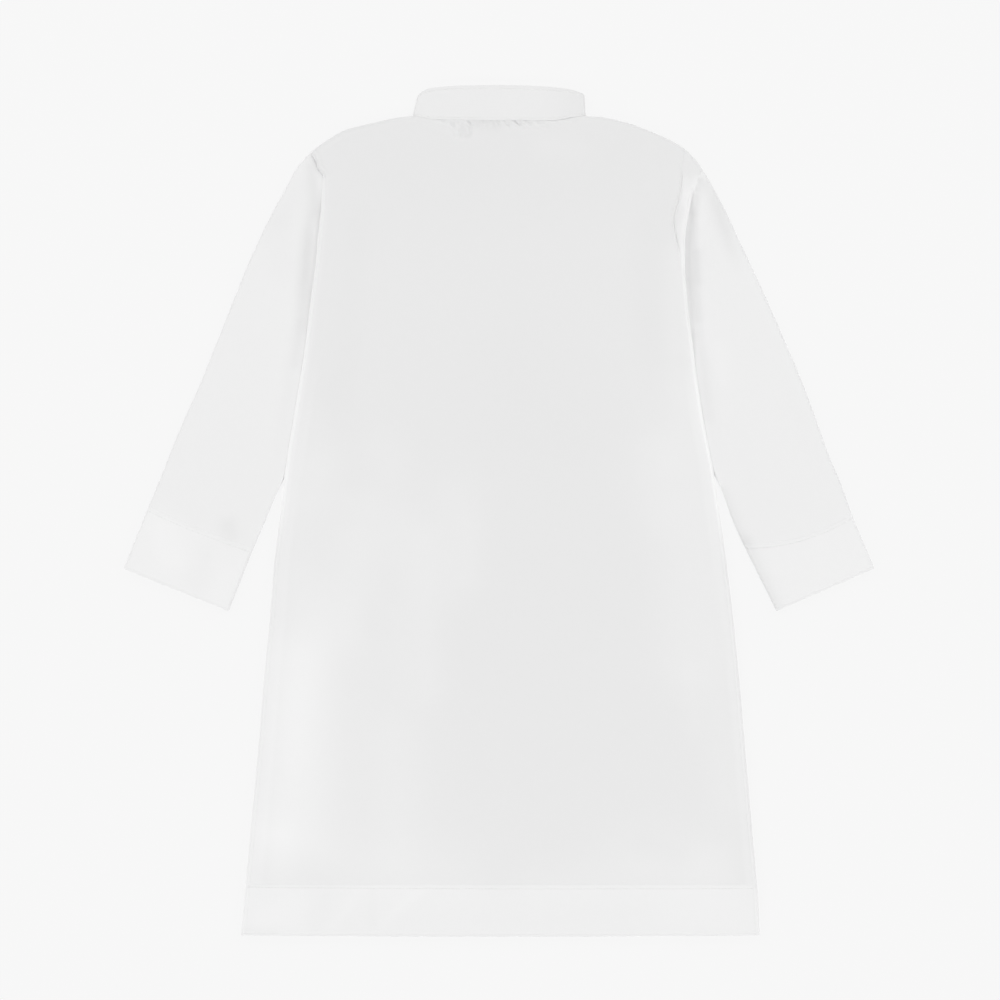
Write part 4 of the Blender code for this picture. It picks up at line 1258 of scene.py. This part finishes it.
@dataclass
class SleeveCloth:
    """One sleeve and its cuff, two flattened tubes of thin cloth."""

    side: Side
    finish: Material
    cuff_finish: Material
    form: BodyForm
    swell: Band = Band(0.88, 9.0)
    swell_ends: tuple[tuple[float, ...], ...] = ((0.32, 110.0, 170.0), (1.0, 96.0, 168.0))
    sleeve_height: float = 3.6
    head_height: float = 2.4
    head_lowers: Span = (0.86, 0.95)
    tucked: Span = (0.004, 0.022)      # the parts where the sleeve comes out of its cuff
    cuff_height: float = 4.2
    cuff_over: float = 0.04            # how much higher the cuff is than the sleeve in it
    cuff_opens: Span = (-0.016, 0.03)
    row: Band = Band(ROW_SINKS, 0.014, 0.055)
    cuff_end: Band = Band(1.0, 0.026, 1.0)
    crown: float = 0.5
    crown_in: float = 12.0
    rise_in: float = 4.0
    waves: tuple[Ripple, ...] = table(Ripple, (0.14, 34, 44, 2.9), (0.06, 12, 16, 7.7))
    columns: int = 29
    arc_count: int = 5
    # The sleeves' and cuffs' tones sit above the body's partly as painted light, brighter towards
    # the robe's sides; the cuffs' also for their doubled cloth
    sleeve_white: float = 0.675
    cuff_white: float = 0.74
    # A painted highlight at the cuff's open end
    end_highlight: Band = Band(0.07, 0.04, 1.0)

    def sections(self, share: Array) -> SleeveSection:
        """Sections along the sleeve, 0 at its cuff's seam and 1 at the shoulder."""
        rows = SLEEVES[self.side]
        index = np.arange(len(rows))
        return SleeveSection(*(SmoothLine(index, row)(share * index[-1]) for row in zip(*rows)))

    def cuff_sections(self, share: Array) -> SleeveSection:
        """Sections along the cuff, 0 at its seam and 1 at its open end."""
        ends = zip(SLEEVES[self.side][0], CUFF_ENDS[self.side])
        return SleeveSection(*(mix(seam, end, share) for seam, end in ends))

    def ring(self, row: SleeveSection, height: Array, middle: Array | float) -> Array:
        """Rings round a flattened tube: out along the top from the outer edge, back below.

        Args:
            row: the sections, each column an array of one column.
            height: the flattened tube's height at each section.
            middle: how high up its middle is.

        Returns:
            Rows of points, the last of each the same as its first.
        """
        outer = np.stack([row.outer_x, row.outer_y], axis=-1)
        inner = np.stack([row.inner_x, row.inner_y], axis=-1)
        width = np.linalg.norm(inner - outer, axis=-1)
        unit = (inner - outer) / width[..., None]
        down = np.stack([unit[..., 1], -unit[..., 0]], axis=-1)
        down = np.where(down[..., 1:] > 0.0, -down, down)
        radius = height / 2.0
        arc = radius * arc_steps(1.0, self.arc_count)
        flat = mix(radius, width - radius, np.linspace(0.0, 1.0, self.columns + 2)[1:-1])
        out = np.concatenate([0.0 * width, 0.0 * width + arc, flat, width - arc[:, ::-1], width],
                             axis=1)
        faces = []
        for distance, relief, way in ((out, self.upper, 1.0), (out[:, ::-1], self.lower, -1.0)):
            share = distance / width
            sag = (row.bow * arch(share))[..., None]
            place = outer + unit * distance[..., None] + down * sag
            edge = np.minimum(distance, width - distance)
            rise = middle + way * radius * quarter(edge, radius)
            rise = rise + relief(place[..., 0], place[..., 1], share, edge)
            faces.append(np.concatenate([place, rise[..., None]], axis=-1))
        return np.concatenate([faces[0], faces[1][:, 1:]], axis=1)

    def upper(self, x: Array, y: Array, share: Array, edge: Array) -> Array:
        """The relief of the upper face.

        Args:
            x: the points' x.
            y: the points' y.
            share: where they lie from one edge to the other.
            edge: their distance from the nearer edge.

        Returns:
            How far the cloth is lifted at each point.
        """
        full = np.sin(np.pi * share) * self.crown
        full = full + total(SLEEVE_FOLDS + SLEEVE_CREASES + self.waves, x, y)
        swollen = self.swollen(x, y) + total(SLEEVE_RISES, x, y)
        return full * quarter(edge, self.crown_in) + swollen * quarter(edge, self.rise_in)

    def lower(self, x: Array, y: Array, _: Array, edge: Array) -> Array:
        """The relief of the lower face, which is soft hollows."""
        return total(SLEEVE_HOLLOWS, x, y) * quarter(edge, self.crown_in)

    def swollen(self, x: Array, y: Array) -> Array:
        """How far the sleeve stands up beside the body's edge that lies over it."""
        amount, start, end = self.swell_ends[self.side is Side.RIGHT]
        kept = 1.0 - amount * smooth(y, start, end)
        near = self.swell.at(x - self.form.edge[self.side](y))
        return near * self.form.side_lift(y, self.side) * kept

    def make_sleeve(self) -> Piece:
        """Lays the sleeve, its lower end tucked a little way into the cuff."""
        share = np.concatenate([np.linspace(0.0, 0.84, 94), np.linspace(0.845, 1.0, 30)])[:, None]
        height = mix(self.sleeve_height, self.head_height, smooth(share, *self.head_lowers))
        drawn_in = ROW_SINKS * fade(share, *self.tucked)
        middle = (self.sleeve_height + drawn_in) / 2.0
        points = self.ring(self.sections(share), height - drawn_in, middle)
        # The sleeve's tone, with patches of painted shade and painted highlight
        tone = self.sleeve_white + total(SLEEVE_PAINTED_SHADING, points[..., 0], points[..., 1])
        name = f"sleeve_{self.side.name.lower()}_cloth"
        weft = Weft(points, tone, ring=True)
        return weft.make(name, Outward.HIGHEST_UP, SINGLE, self.finish)

    def make_cuff(self) -> Piece:
        """Lays the cuff, a doubled band that begins where the sleeve ends."""
        share = np.concatenate([
            [-0.014, -0.002, 0.01, 0.022, 0.033], self.row.place + np.linspace(-0.01, 0.03, 5),
            np.linspace(0.11, 0.94, 18), [0.955, 0.97, 0.982, 0.991, 1.0],
        ])[:, None]
        seam_height = self.sleeve_height + self.cuff_over
        height = mix(seam_height, self.cuff_height, smooth(share, *self.cuff_opens))
        height = height - self.cuff_end.at(share)
        drawn_in = self.row.at(share)
        middle = (height + drawn_in) / 2.0
        points = self.ring(self.cuff_sections(share), height - drawn_in, middle)
        # The cuff's tone, with patches of painted shade and painted highlight
        tone = self.cuff_white + total(SLEEVE_PAINTED_SHADING, points[..., 0], points[..., 1])
        name = f"cuff_{self.side.name.lower()}_cloth"
        # The painted highlight at the cuff's open end goes on here
        weft = Weft(points, tone + self.end_highlight.at(share), ring=True)
        return weft.make(name, Outward.HIGHEST_UP, DOUBLED, self.cuff_finish)


# The collar

class Station(NamedTuple):
    """A place along the collar's band."""

    share: float            # of its half width, from the wearer's left to right
    is_back: bool
    out: float              # 1 on its outer face and 0 in the fold at its side


@dataclass
class CollarCloth:
    """The stand collar: a stiffened band from one front end round the back to the other."""

    form: BodyForm
    finish: Material
    height: float = 24.6
    wall: float = 1.2
    top_half: float = 61.7
    top_shift: float = 1.1
    top_side_y: float = 301.0
    right_rise: float = 2.0
    top_z: float = 4.2
    foot_z: float = 4.78
    bulge: float = 0.35
    foot_rise: Band = Band(0.35, 15.0, 49.5)
    side_tuck: float = 2.4     # how far the folded sides reach into the body at the foot
    rows: Span = (0.07, 0.9)
    row_reach: float = 0.03
    placket_half: Span = (12.0, 30.0)
    turns: int = 7
    white: float = 0.59
    shaded: Band = Band(0.10, 20.0, NECK_HALF)
    edge_shaded: Band = Band(0.08, 0.05, 1.0)

    def stations(self) -> list[Station]:
        """Places along the band, from one front end round the back to the other."""
        near = (NECK_HALF - NECK_CORNER) / NECK_HALF
        turns = np.radians(90.0) * np.arange(self.turns) / self.turns
        bend = [(float(mix(near, 1.0, math.sin(turn))), math.cos(turn)) for turn in turns]
        half = [Station(x / NECK_HALF, False, 1.0) for x in steps(0.6, near * NECK_HALF, 3.0)]
        half += [Station(share, False, out) for share, out in bend] + [Station(1.0, True, 0.0)]
        half += [Station(share, True, out) for share, out in reversed(bend)]
        back = steps(-near * NECK_HALF, near * NECK_HALF, 2.0)[1:]
        middle = [Station(-x / NECK_HALF, True, 1.0) for x in back]
        return half + middle + [Station(-at.share, *at[1:]) for at in reversed(half)]

    def surface(self, heights: Sequence[float]) -> Array:
        """Points of the band's outer face.

        Args:
            heights: parts of the band's height, 0 at its foot.

        Returns:
            The points, a row for each height.
        """
        back_top = SmoothLine(*zip(*COLLAR_BACK_TOP))
        low_y = self.form.front_neck(0.0) + self.height
        rows = []
        for part in heights:
            sewn = sum(Band(ROW_SINKS, self.row_reach, row).at(part) for row in self.rows)
            for share, is_back, out in self.stations():
                foot_x, top_x = share * NECK_HALF, share * self.top_half + self.top_shift
                foot_y = (self.form.back_neck if is_back else self.form.front_neck)(foot_x) + SEAM
                foot_y -= self.side_tuck * (1.0 - out) ** 2
                side_y = self.top_side_y + self.right_rise * (share > 0.0)
                front_y = mix(low_y, side_y, abs(share) ** NECK_CURVE)
                top_y = back_top(top_x) if is_back else front_y
                x, y = mix(foot_x, top_x, part), mix(foot_y, top_y, part)
                high = mix(self.foot_z, self.top_z, part) + self.bulge * math.sin(math.pi * part)
                high += (1.0 - part) ** 2 * self.foot_rise.at(foot_x)
                low = PLACKET_Z * fade(abs(x), *self.placket_half) + sewn
                rows.append((x, y, mix((high + low) / 2.0, high if is_back else low, out)))
        return np.array(rows, float).reshape(len(heights), -1, 3)

    def make(self) -> Piece:
        """Lays the collar."""
        low, high = (row + np.array([-0.05, -0.025, 0.0, 0.025, 0.05]) for row in self.rows)
        part = np.concatenate([[0.0], low, np.linspace(0.2, 0.8, 8), high, [0.97, 1.0]])
        points = self.surface(part)
        tone = self.white - self.shaded.at(points[..., 0]) - self.edge_shaded.at(part[:, None])
        weft = Weft(points, tone)
        return weft.make("collar_cloth", Outward.LOWEST_DOWN, self.wall, self.finish)


# The placket, its buttons and the sewing

@dataclass
class PlacketCloth:
    """The pointed doubled strip over the front's slit."""

    form: BodyForm
    finish: Material
    point: float = 9.0
    wall: float = 1.15
    edge: float = 0.8
    edge_sinks: float = 0.6
    groove: Band = Band(0.14, 0.5, 2.0)
    waves: tuple[Ripple, ...] = table(Ripple, (0.05, 4, 9, 6.6), (0.05, 11, 30, 4.2))
    waves_in: float = 3.0
    neck_row: float = 1.0      # how far below its top edge the strip follows the neckline
    white: float = 0.72

    def half(self, y: Array) -> Array:
        """Half the strip's width at each height, narrowing to its point."""
        return PLACKET_HALF * np.clip((y - self.form.placket_end) / self.point, 0.0, 1.0)

    def make(self) -> Piece:
        """Lays the placket, its edges turned in and pressed."""
        end, top = self.form.placket_end, self.form.placket_top
        y = np.concatenate([
            end + np.array([0.02, 0.4, 1.0, 1.8]), steps(end + 2.7, end + self.point, 0.9),
            steps(end + self.point, top - 3.0, 2.6), top - np.array([3.0, 2.0, 1.2, 0.6, 0.2, 0.0]),
        ])[:, None]
        inward = np.concatenate([
            [0.0], arc_steps(self.edge, 3), [1.3, 1.7, 2.0, 2.3, 2.8],
            steps(3.6, PLACKET_HALF, 0.95), [PLACKET_HALF],
        ])
        inward = np.concatenate([inward, 2.0 * PLACKET_HALF - inward[-2::-1]])
        x = (inward / PLACKET_HALF - 1.0) * self.half(y)
        from_edge = self.half(y) - np.abs(x)
        z = PLACKET_Z + self.edge_sinks * (1.0 - quarter(from_edge, self.edge))
        z = z + self.groove.at(from_edge)
        z = z + total(self.waves, x, y) * quarter(from_edge, self.waves_in)
        across = self.form.front_neck(x) - self.form.front_neck(0.0)
        points = np.stack([x, y + across * (y > top - self.neck_row), z], axis=2)
        weft = Weft(points, np.full(z.shape, self.white))
        return weft.make("placket_cloth", Outward.LOWEST_DOWN, self.wall, self.finish)


@dataclass
class Buttons:
    """Small round four-holed buttons, facing down under the robe, each sewn with crossed thread."""

    form: BodyForm
    finish: Material
    radius: float = 4.6
    first: float = 13.0
    pitch: float = 31.0
    rim: float = 1.0
    dish: float = 0.45
    step: float = 0.5
    back_share: float = 0.86
    softness: float = 0.3
    hole_radius: float = 0.55
    hole_aside: float = 0.95
    turns: tuple[float, ...] = (7.0, -12.0, 3.0, 16.0, -6.0)     # of each button, in degrees

    def places(self) -> list[float]:
        """The y of each button's middle, the top one first."""
        top = self.form.placket_top - self.first
        return [top - self.pitch * i for i in range(len(self.turns))]

    def model(self) -> Piece:
        """Models one button: a turned disc with a rim, a dish, a soft back and four holes."""
        bpy.ops.object.select_all(action="DESELECT")
        bpy.ops.mesh.primitive_cylinder_add(
            vertices=48, radius=self.radius * MM, depth=BUTTON_THICK * MM,
            location=(0.0, 0.0, BUTTON_THICK / 2.0 * MM),
        )
        button = bpy.context.object
        bpy.ops.object.transform_apply(location=True, rotation=True, scale=True)
        with editing(button, lambda face: face.normal.z < -FLAT_ON):
            for width, rise in ((self.rim, 0.0), (self.step, -self.dish), (self.step, 0.0)):
                bpy.ops.mesh.inset(thickness=width * MM, depth=rise * MM)
        with editing(button, lambda face: face.normal.z > FLAT_ON):
            bpy.ops.mesh.inset(thickness=self.step * MM, depth=0.0)
            bpy.ops.transform.resize(value=(self.back_share, self.back_share, 1.0))
        soften = button.modifiers.new("soft rim", "BEVEL")
        soften.width = self.softness * MM
        soften.segments = 3
        soften.limit_method = "ANGLE"
        soften.angle_limit = math.radians(30.0)
        apply_all(button)
        self.drill(button)
        alone(button)
        bpy.ops.object.shade_smooth_by_angle(angle=math.radians(35.0))
        button.data.materials.append(self.finish)
        return button

    def drill(self, button: Piece) -> None:
        """Cuts the four holes.

        Args:
            button: the button, still without them.
        """
        away = self.hole_aside * MM
        drills = []
        for x, y in ((-away, -away), (-away, away), (away, -away), (away, away)):
            bpy.ops.mesh.primitive_cylinder_add(
                vertices=16, radius=self.hole_radius * MM, depth=3.0 * BUTTON_THICK * MM,
                location=(x, y, 0.0),
            )
            drills.append(bpy.context.object)
        alone(drills[0])
        for drill in drills:
            drill.select_set(True)
        bpy.ops.object.join()
        bit = bpy.context.object
        cut = button.modifiers.new("holes", "BOOLEAN")
        cut.operation = "DIFFERENCE"
        cut.object = bit
        apply_all(button)
        alone(bit)
        bpy.ops.object.delete()

    def make(self) -> list[Piece]:
        """Copies the button to its places down the placket."""
        button = self.model()
        made = []
        for number, (y, turn) in enumerate(zip(self.places(), self.turns), 1):
            alone(button)
            bpy.ops.object.duplicate()
            copy = bpy.context.object
            copy.name = copy.data.name = f"shirt_button_{number}"
            copy.location = (0.0, y * MM, 0.0)
            copy.rotation_euler = (0.0, 0.0, math.radians(turn))
            bpy.ops.object.transform_apply(location=True, rotation=True, scale=True)
            made.append(copy)
        alone(button)
        bpy.ops.object.delete()
        return made


class StitchRow(NamedTuple):
    """A line of stitches: its points, the surface's direction across it, and which way is out."""

    points: Array
    across: Array
    outward: Outward
    pitch: float = 2.4

    def frames(self) -> tuple[Array, Array, Array, Array]:
        """Evenly spaced places along the row, and the directions there.

        Returns:
            Places, and the directions along, beside and out of the cloth.
        """
        gaps = np.linalg.norm(np.diff(self.points, axis=0), axis=1)
        walked = np.concatenate([[0.0], np.cumsum(gaps)])
        count = max(int(walked[-1] / self.pitch), 1)
        stops = (np.arange(count) + 0.5) * walked[-1] / count

        def at(values: Array, places: Array) -> Array:
            """The row's values at places along it."""
            return np.stack([np.interp(places, walked, column) for column in values.T], axis=1)

        place = at(self.points, stops)
        along = at(self.points, stops + 0.3) - at(self.points, stops - 0.3)
        along /= np.linalg.norm(along, axis=1)[:, None]
        out = np.cross(along, at(self.across, stops))
        out /= np.linalg.norm(out, axis=1)[:, None]
        known = int(np.argmax(place[:, 2] * self.outward.value))
        if out[known, 2] * self.outward.value < 0.0:
            out = -out
        return place, along, np.cross(out, along), out


@dataclass
class Sewing:
    """Rows of lockstitch, made by copying one modelled stitch along each line."""

    finish: Material
    length: float = 1.95
    width: float = 0.36
    straight: float = 0.62         # the part of a stitch between its dipping ends
    dip_length: float = 0.19
    dip_depth: float = 0.45
    dip_thins: float = 0.6
    least_facing: float = 0.6      # a rounded edge is left without stitches

    def model(self) -> tuple[Array, list[tuple[int, ...]]]:
        """Models one stitch along X, its ends dipping into the cloth.

        Returns:
            Its points in millimetres and its faces.
        """
        bpy.ops.object.select_all(action="DESELECT")
        bpy.ops.mesh.primitive_cylinder_add(
            vertices=6, radius=self.width / 2.0 * MM, depth=self.straight * self.length * MM,
            rotation=(0.0, math.radians(90.0), 0.0),
        )
        stitch = bpy.context.object
        bpy.ops.object.transform_apply(location=True, rotation=True, scale=True)
        for side in (1.0, -1.0):
            dip = Vector((side * self.dip_length * self.length, 0.0, -self.dip_depth * self.width))
            with editing(stitch, lambda face, side=side: face.normal.x * side > FLAT_ON):
                bpy.ops.mesh.extrude_region_move(TRANSFORM_OT_translate={"value": tuple(dip * MM)})
                bpy.ops.transform.resize(value=(1.0, self.dip_thins, self.dip_thins))
        points = np.array([tuple(vertex.co) for vertex in stitch.data.vertices]) / MM
        faces = [tuple(face.vertices) for face in stitch.data.polygons]
        bpy.ops.object.delete()
        return points, faces

    def make(self, name: str, rows: Sequence[StitchRow]) -> Piece:
        """Sews a piece's rows as one mesh.

        Args:
            name: the new piece's name.
            rows: the rows of stitches.

        Returns:
            The stitches.
        """
        shape, faces = self.model()
        corners = [
            place + shape @ np.stack([along, beside, out])
            for row in rows for place, along, beside, out in zip(*row.frames())
            if abs(out[2]) > self.least_facing
        ]
        firsts = range(0, len(corners) * len(shape), len(shape))
        all_faces = [tuple(first + i for i in face) for first in firsts for face in faces]
        mesh = bpy.data.meshes.new(name)
        mesh.from_pydata((np.concatenate(corners) * MM).tolist(), [], all_faces)
        piece = bpy.data.objects.new(name, mesh)
        bpy.context.collection.objects.link(piece)
        alone(piece)
        bpy.ops.object.shade_smooth()
        mesh.materials.append(self.finish)
        return piece


@dataclass
class RobeStitches:
    """Where the robe's rows of stitches run."""

    body: BodyCloth
    collar: CollarCloth
    placket: PlacketCloth
    buttons: Buttons
    sewing: Sewing
    hem_ends: Span = (-184.0, 186.0)
    armhole_parts: Span = (0.862, 0.985)
    armhole_in: float = 1.5
    buttonhole_reach: float = 5.4
    buttonhole_half: float = 0.75
    buttonhole_pitch: float = 0.7
    thread_aside: float = 0.16

    def body_row(self, part: Array, x: Array, outward: Outward) -> StitchRow:
        """A row over the back or the front.

        Args:
            part: the parts of the body's height that it passes through.
            x: the x of its points.
            outward: up on the back and down on the front.

        Returns:
            The row.
        """
        parts, x = np.broadcast_arrays(part, x)
        line, beyond = (
            self.body.form.face(at[:, None], x[:, None], outward is Outward.LOWEST_DOWN)[:, 0]
            for at in (parts, parts + 0.002)
        )
        runs_up = np.ndim(part) > 0
        return StitchRow(line, aside(line) if runs_up else beyond - line, outward)

    def hem(self) -> Piece:
        """The hem's row, on the back and on the front."""
        part, x = HEM_ROW / self.body.form.height, np.linspace(*self.hem_ends, 220)
        rows = [self.body_row(part, x, side) for side in Outward]
        return self.sewing.make("hem_stitches", rows)

    def neck(self) -> Piece:
        """Rows along the collar's foot and its upper edge."""
        rows = []
        for part in self.collar.rows:
            line, beyond = self.collar.surface((part, part + 0.03))
            rows.append(StitchRow(line, beyond - line, Outward.HIGHEST_UP))
        return self.sewing.make("collar_stitches", rows)

    def armhole(self) -> Piece:
        """The row beside the right armhole's seam, where it shows."""
        form = self.body.form
        part = np.linspace(*self.armhole_parts, 60)
        x, y = form.end(part, Side.RIGHT)
        row = self.body_row(part, x - form.seam[Side.RIGHT](y) - self.armhole_in,
                            Outward.HIGHEST_UP)
        return self.sewing.make("armhole_stitches", [row])

    def cuff(self, sleeve: SleeveCloth) -> Piece:
        """A row round a cuff, just below its seam."""
        share = sleeve.row.place + np.array([[0.0], [0.01]])
        height = np.full(share.shape, sleeve.cuff_height - ROW_SINKS)
        middle = (sleeve.cuff_height + ROW_SINKS) / 2.0
        line, beyond = sleeve.ring(sleeve.cuff_sections(share), height, middle)
        row = StitchRow(line, beyond - line, Outward.HIGHEST_UP)
        return self.sewing.make(f"cuff_{sleeve.side.name.lower()}_stitches", [row])

    def placket_edge(self) -> Piece:
        """The row round the placket, and the cross row over its point."""
        form, inset = self.placket.form, self.placket.groove.place
        half, top = PLACKET_HALF - inset, form.placket_top - 1.5
        end = form.placket_end + inset * 1.6
        shoulder = form.placket_end + self.placket.point + 0.6
        cross = shoulder + 9.0
        round_it = [(-half, top), (-half, shoulder), (0.0, end), (half, shoulder), (half, top)]
        rows = []
        for path in (round_it, [(-half, cross), (half, cross)]):
            for (x0, y0), (x1, y1) in zip(path, path[1:]):
                ends = np.array([(x0, y0, PLACKET_Z + 0.1), (x1, y1, PLACKET_Z + 0.1)])
                across = np.broadcast_to((y0 - y1, x1 - x0, 0.0), ends.shape)
                rows.append(StitchRow(ends, across, Outward.LOWEST_DOWN))
        return self.sewing.make("placket_stitches", rows)

    def buttonholes(self) -> Piece:
        """A ring of close stitches round each buttonhole, and the thread through each button."""
        rows = []
        half, hole = self.buttonhole_half, self.buttons.hole_aside
        turns = np.linspace(0.0, 2.0 * math.pi, 49)
        sine, cosine = np.sin(turns), np.cos(turns)
        ends = (self.buttonhole_reach - half) * np.sign(cosine) * (np.abs(cosine) > 0.02)
        across = np.stack([sine, cosine, 0.0 * turns], axis=1)
        z = self.buttons.dish - 0.1
        for y in self.buttons.places():
            ring = np.stack([half * sine, y + ends + half * cosine,
                             np.full(turns.shape, PLACKET_Z - 0.02)], axis=1)
            rows.append(StitchRow(ring, across, Outward.LOWEST_DOWN, self.buttonhole_pitch))
            for x in (-hole, hole):
                for shift in (-self.thread_aside, self.thread_aside):
                    bar = np.array([(x + shift, y - hole, z), (x + shift, y + hole, z)])
                    rows.append(StitchRow(bar, aside(bar), Outward.LOWEST_DOWN))
        return self.sewing.make("button_thread", rows)


# The studio

@dataclass(frozen=True)
class Studio:
    """A pale floor, soft side and top light, and a camera straight above."""

    frame_width: float = 733.0
    centre: Place = (0.7, 8.0)
    lens: float = 100.0
    sensor: float = 36.0
    backdrop: float = 0.930
    floor_size: float = 60.0
    floor_grey: float = 0.04
    below: float = 0.80
    horizon: float = 0.40
    overhead: float = 0.53
    box_aside: float = 1.20
    box_above: float = 1.20
    box_below: float = 1.30
    box_height: float = 0.90
    box_size: Place = (0.5, 0.7)
    box_power: float = 11.4

    def floor(self) -> Piece:
        """The floor: mostly even, as a lit backdrop is, with a faint contact shadow."""
        bpy.ops.object.select_all(action="DESELECT")
        bpy.ops.mesh.primitive_plane_add(size=self.floor_size, location=(0.0, 0.0, 0.0))
        floor = bpy.context.object
        floor.name = "floor"
        material = bpy.data.materials.new("pale_backdrop")
        levels = (self.floor_grey, self.backdrop - self.floor_grey)
        grey, glow = ((level, level, level, 1.0) for level in levels)
        NodeSheet(material).set(
            Base_Color=grey, Roughness=1.0, Specular_IOR_Level=0.0, Emission_Color=glow,
            Emission_Strength=1.0,
        )
        floor.data.materials.append(material)
        floor.location.z = -0.02 * MM
        floor.visible_diffuse = False
        return floor

    def camera(self) -> None:
        """The camera, far above with a long lens."""
        away = self.lens / self.sensor * self.frame_width
        bpy.ops.object.camera_add(
            location=(self.centre[0] * MM, self.centre[1] * MM, away * MM), rotation=(0, 0, 0)
        )
        camera = bpy.context.object
        camera.data.lens = self.lens
        camera.data.sensor_width = self.sensor
        bpy.context.scene.camera = camera

    def softbox(self, name: str, place: tuple[float, float, float]) -> None:
        """A rectangular soft light at a place, in metres, that faces the robe."""
        bpy.ops.object.light_add(type="AREA", location=place)
        light = bpy.context.object
        light.name = name
        light.data.shape = "RECTANGLE"
        light.data.size, light.data.size_y = self.box_size
        light.data.energy = self.box_power
        light.rotation_euler = (-Vector(place)).to_track_quat("-Z", "Y").to_euler()

    def light(self) -> None:
        """An even surround, and two softboxes on each side."""
        world = bpy.data.worlds.new("studio")
        bpy.context.scene.world = world
        sheet = NodeSheet(world)
        split = sheet.add("ShaderNodeSeparateXYZ")
        sheet.link(sheet.add("ShaderNodeTexCoord").outputs["Generated"], split.inputs[0])
        above = sheet.maths("GREATER_THAN", split.outputs[2], 0.0)
        gain = self.overhead - self.horizon
        dome = sheet.maths("MULTIPLY_ADD", split.outputs[2], gain, self.horizon - self.below)
        dome = sheet.maths("MULTIPLY_ADD", dome, above, self.below)
        sheet.link(dome, sheet.shader.inputs["Strength"])
        sheet.set(Color=(1.0, 1.0, 1.0, 1.0))
        for row, y in (("upper", self.box_above), ("lower", -self.box_below)):
            for side, x in (("left", -self.box_aside), ("right", self.box_aside)):
                self.softbox(f"{row} {side} softbox", (x, y, self.box_height))
        bpy.context.scene.view_settings.view_transform = "Standard"


def ride(piece: Piece, slot: Slot, *nodes: str) -> Piece:
    """Sets a piece on the body, and hides the nodes that it stands for."""
    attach(piece, "root")
    if nodes:
        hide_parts(*nodes)
    LOG.info("%s: %d faces", piece.name, len(piece.data.polygons))
    return piece


class Cut(NamedTuple):
    """The flat size of what shows of a piece of cloth, in metres, all round on a tube."""

    width: float
    length: float
    area: float

    def declare(self, piece: Piece, under: Piece, *sewn: Piece) -> None:
        """Takes a laid sheet and does nothing with it.

        Args:
            piece: the sheet; not used.
            under: what it lies on; not used.
            sewn: the stitches on it; not used.
        """


def main() -> None:
    """Builds the robe's pieces in order and sets up the studio."""
    logging.basicConfig(level=logging.INFO, format="%(name)s %(message)s")
    cloth = ClothFinish("white_shirting").build()
    doubled = ClothFinish("doubled_shirting").build()
    form = BodyForm()
    body = BodyCloth(form, cloth)
    collar, placket = CollarCloth(form, doubled), PlacketCloth(form, doubled)
    buttons = Buttons(form, ButtonFinish().build())
    stitches = RobeStitches(body, collar, placket, buttons, Sewing(ThreadFinish().build()))
    studio = Studio()
    floor = studio.floor()

    back = ride(body.make_back(), Slot.CLOTH, "back_panel")
    front = ride(body.make_front(), Slot.CLOTH, "front_panel")
    hem, armhole = ride(stitches.hem(), Slot.CLOTH), ride(stitches.armhole(), Slot.CLOTH)
    Cut(0.380, 0.600, 0.187).declare(back, front, hem, armhole)
    Cut(0.395, 0.600, 0.195).declare(front, floor)
    band = ride(collar.make(), Slot.DOUBLED, "collar")
    Cut(0.265, 0.0246, 0.0057).declare(band, floor, ride(stitches.neck(), Slot.DOUBLED))
    strip = ride(placket.make(), Slot.DOUBLED, "placket")
    edging = ride(stitches.placket_edge(), Slot.DOUBLED)
    thread = ride(stitches.buttonholes(), Slot.DOUBLED)
    Cut(0.022, 0.168, 0.0036).declare(strip, floor, edging, thread)
    for number, button in enumerate(buttons.make(), 1):
        ride(button, Slot.BUTTON, f"button_{number}")
    for side, sleeve_cut, cuff_cut in (
        (Side.LEFT, Cut(0.170, 0.290, 0.038), Cut(0.168, 0.049, 0.0079)),
        (Side.RIGHT, Cut(0.165, 0.290, 0.037), Cut(0.162, 0.045, 0.0070)),
    ):
        sleeve, name = SleeveCloth(side, cloth, doubled, form), side.name.lower()
        tube = ride(sleeve.make_sleeve(), Slot.CLOTH, f"sleeve_{name}")
        sleeve_cut.declare(tube, floor)
        cuff = ride(sleeve.make_cuff(), Slot.DOUBLED, f"cuff_{name}")
        cuff_cut.declare(cuff, floor, ride(stitches.cuff(sleeve), Slot.DOUBLED))
    studio.camera()
    studio.light()


if __name__ == "__main__":
    main()
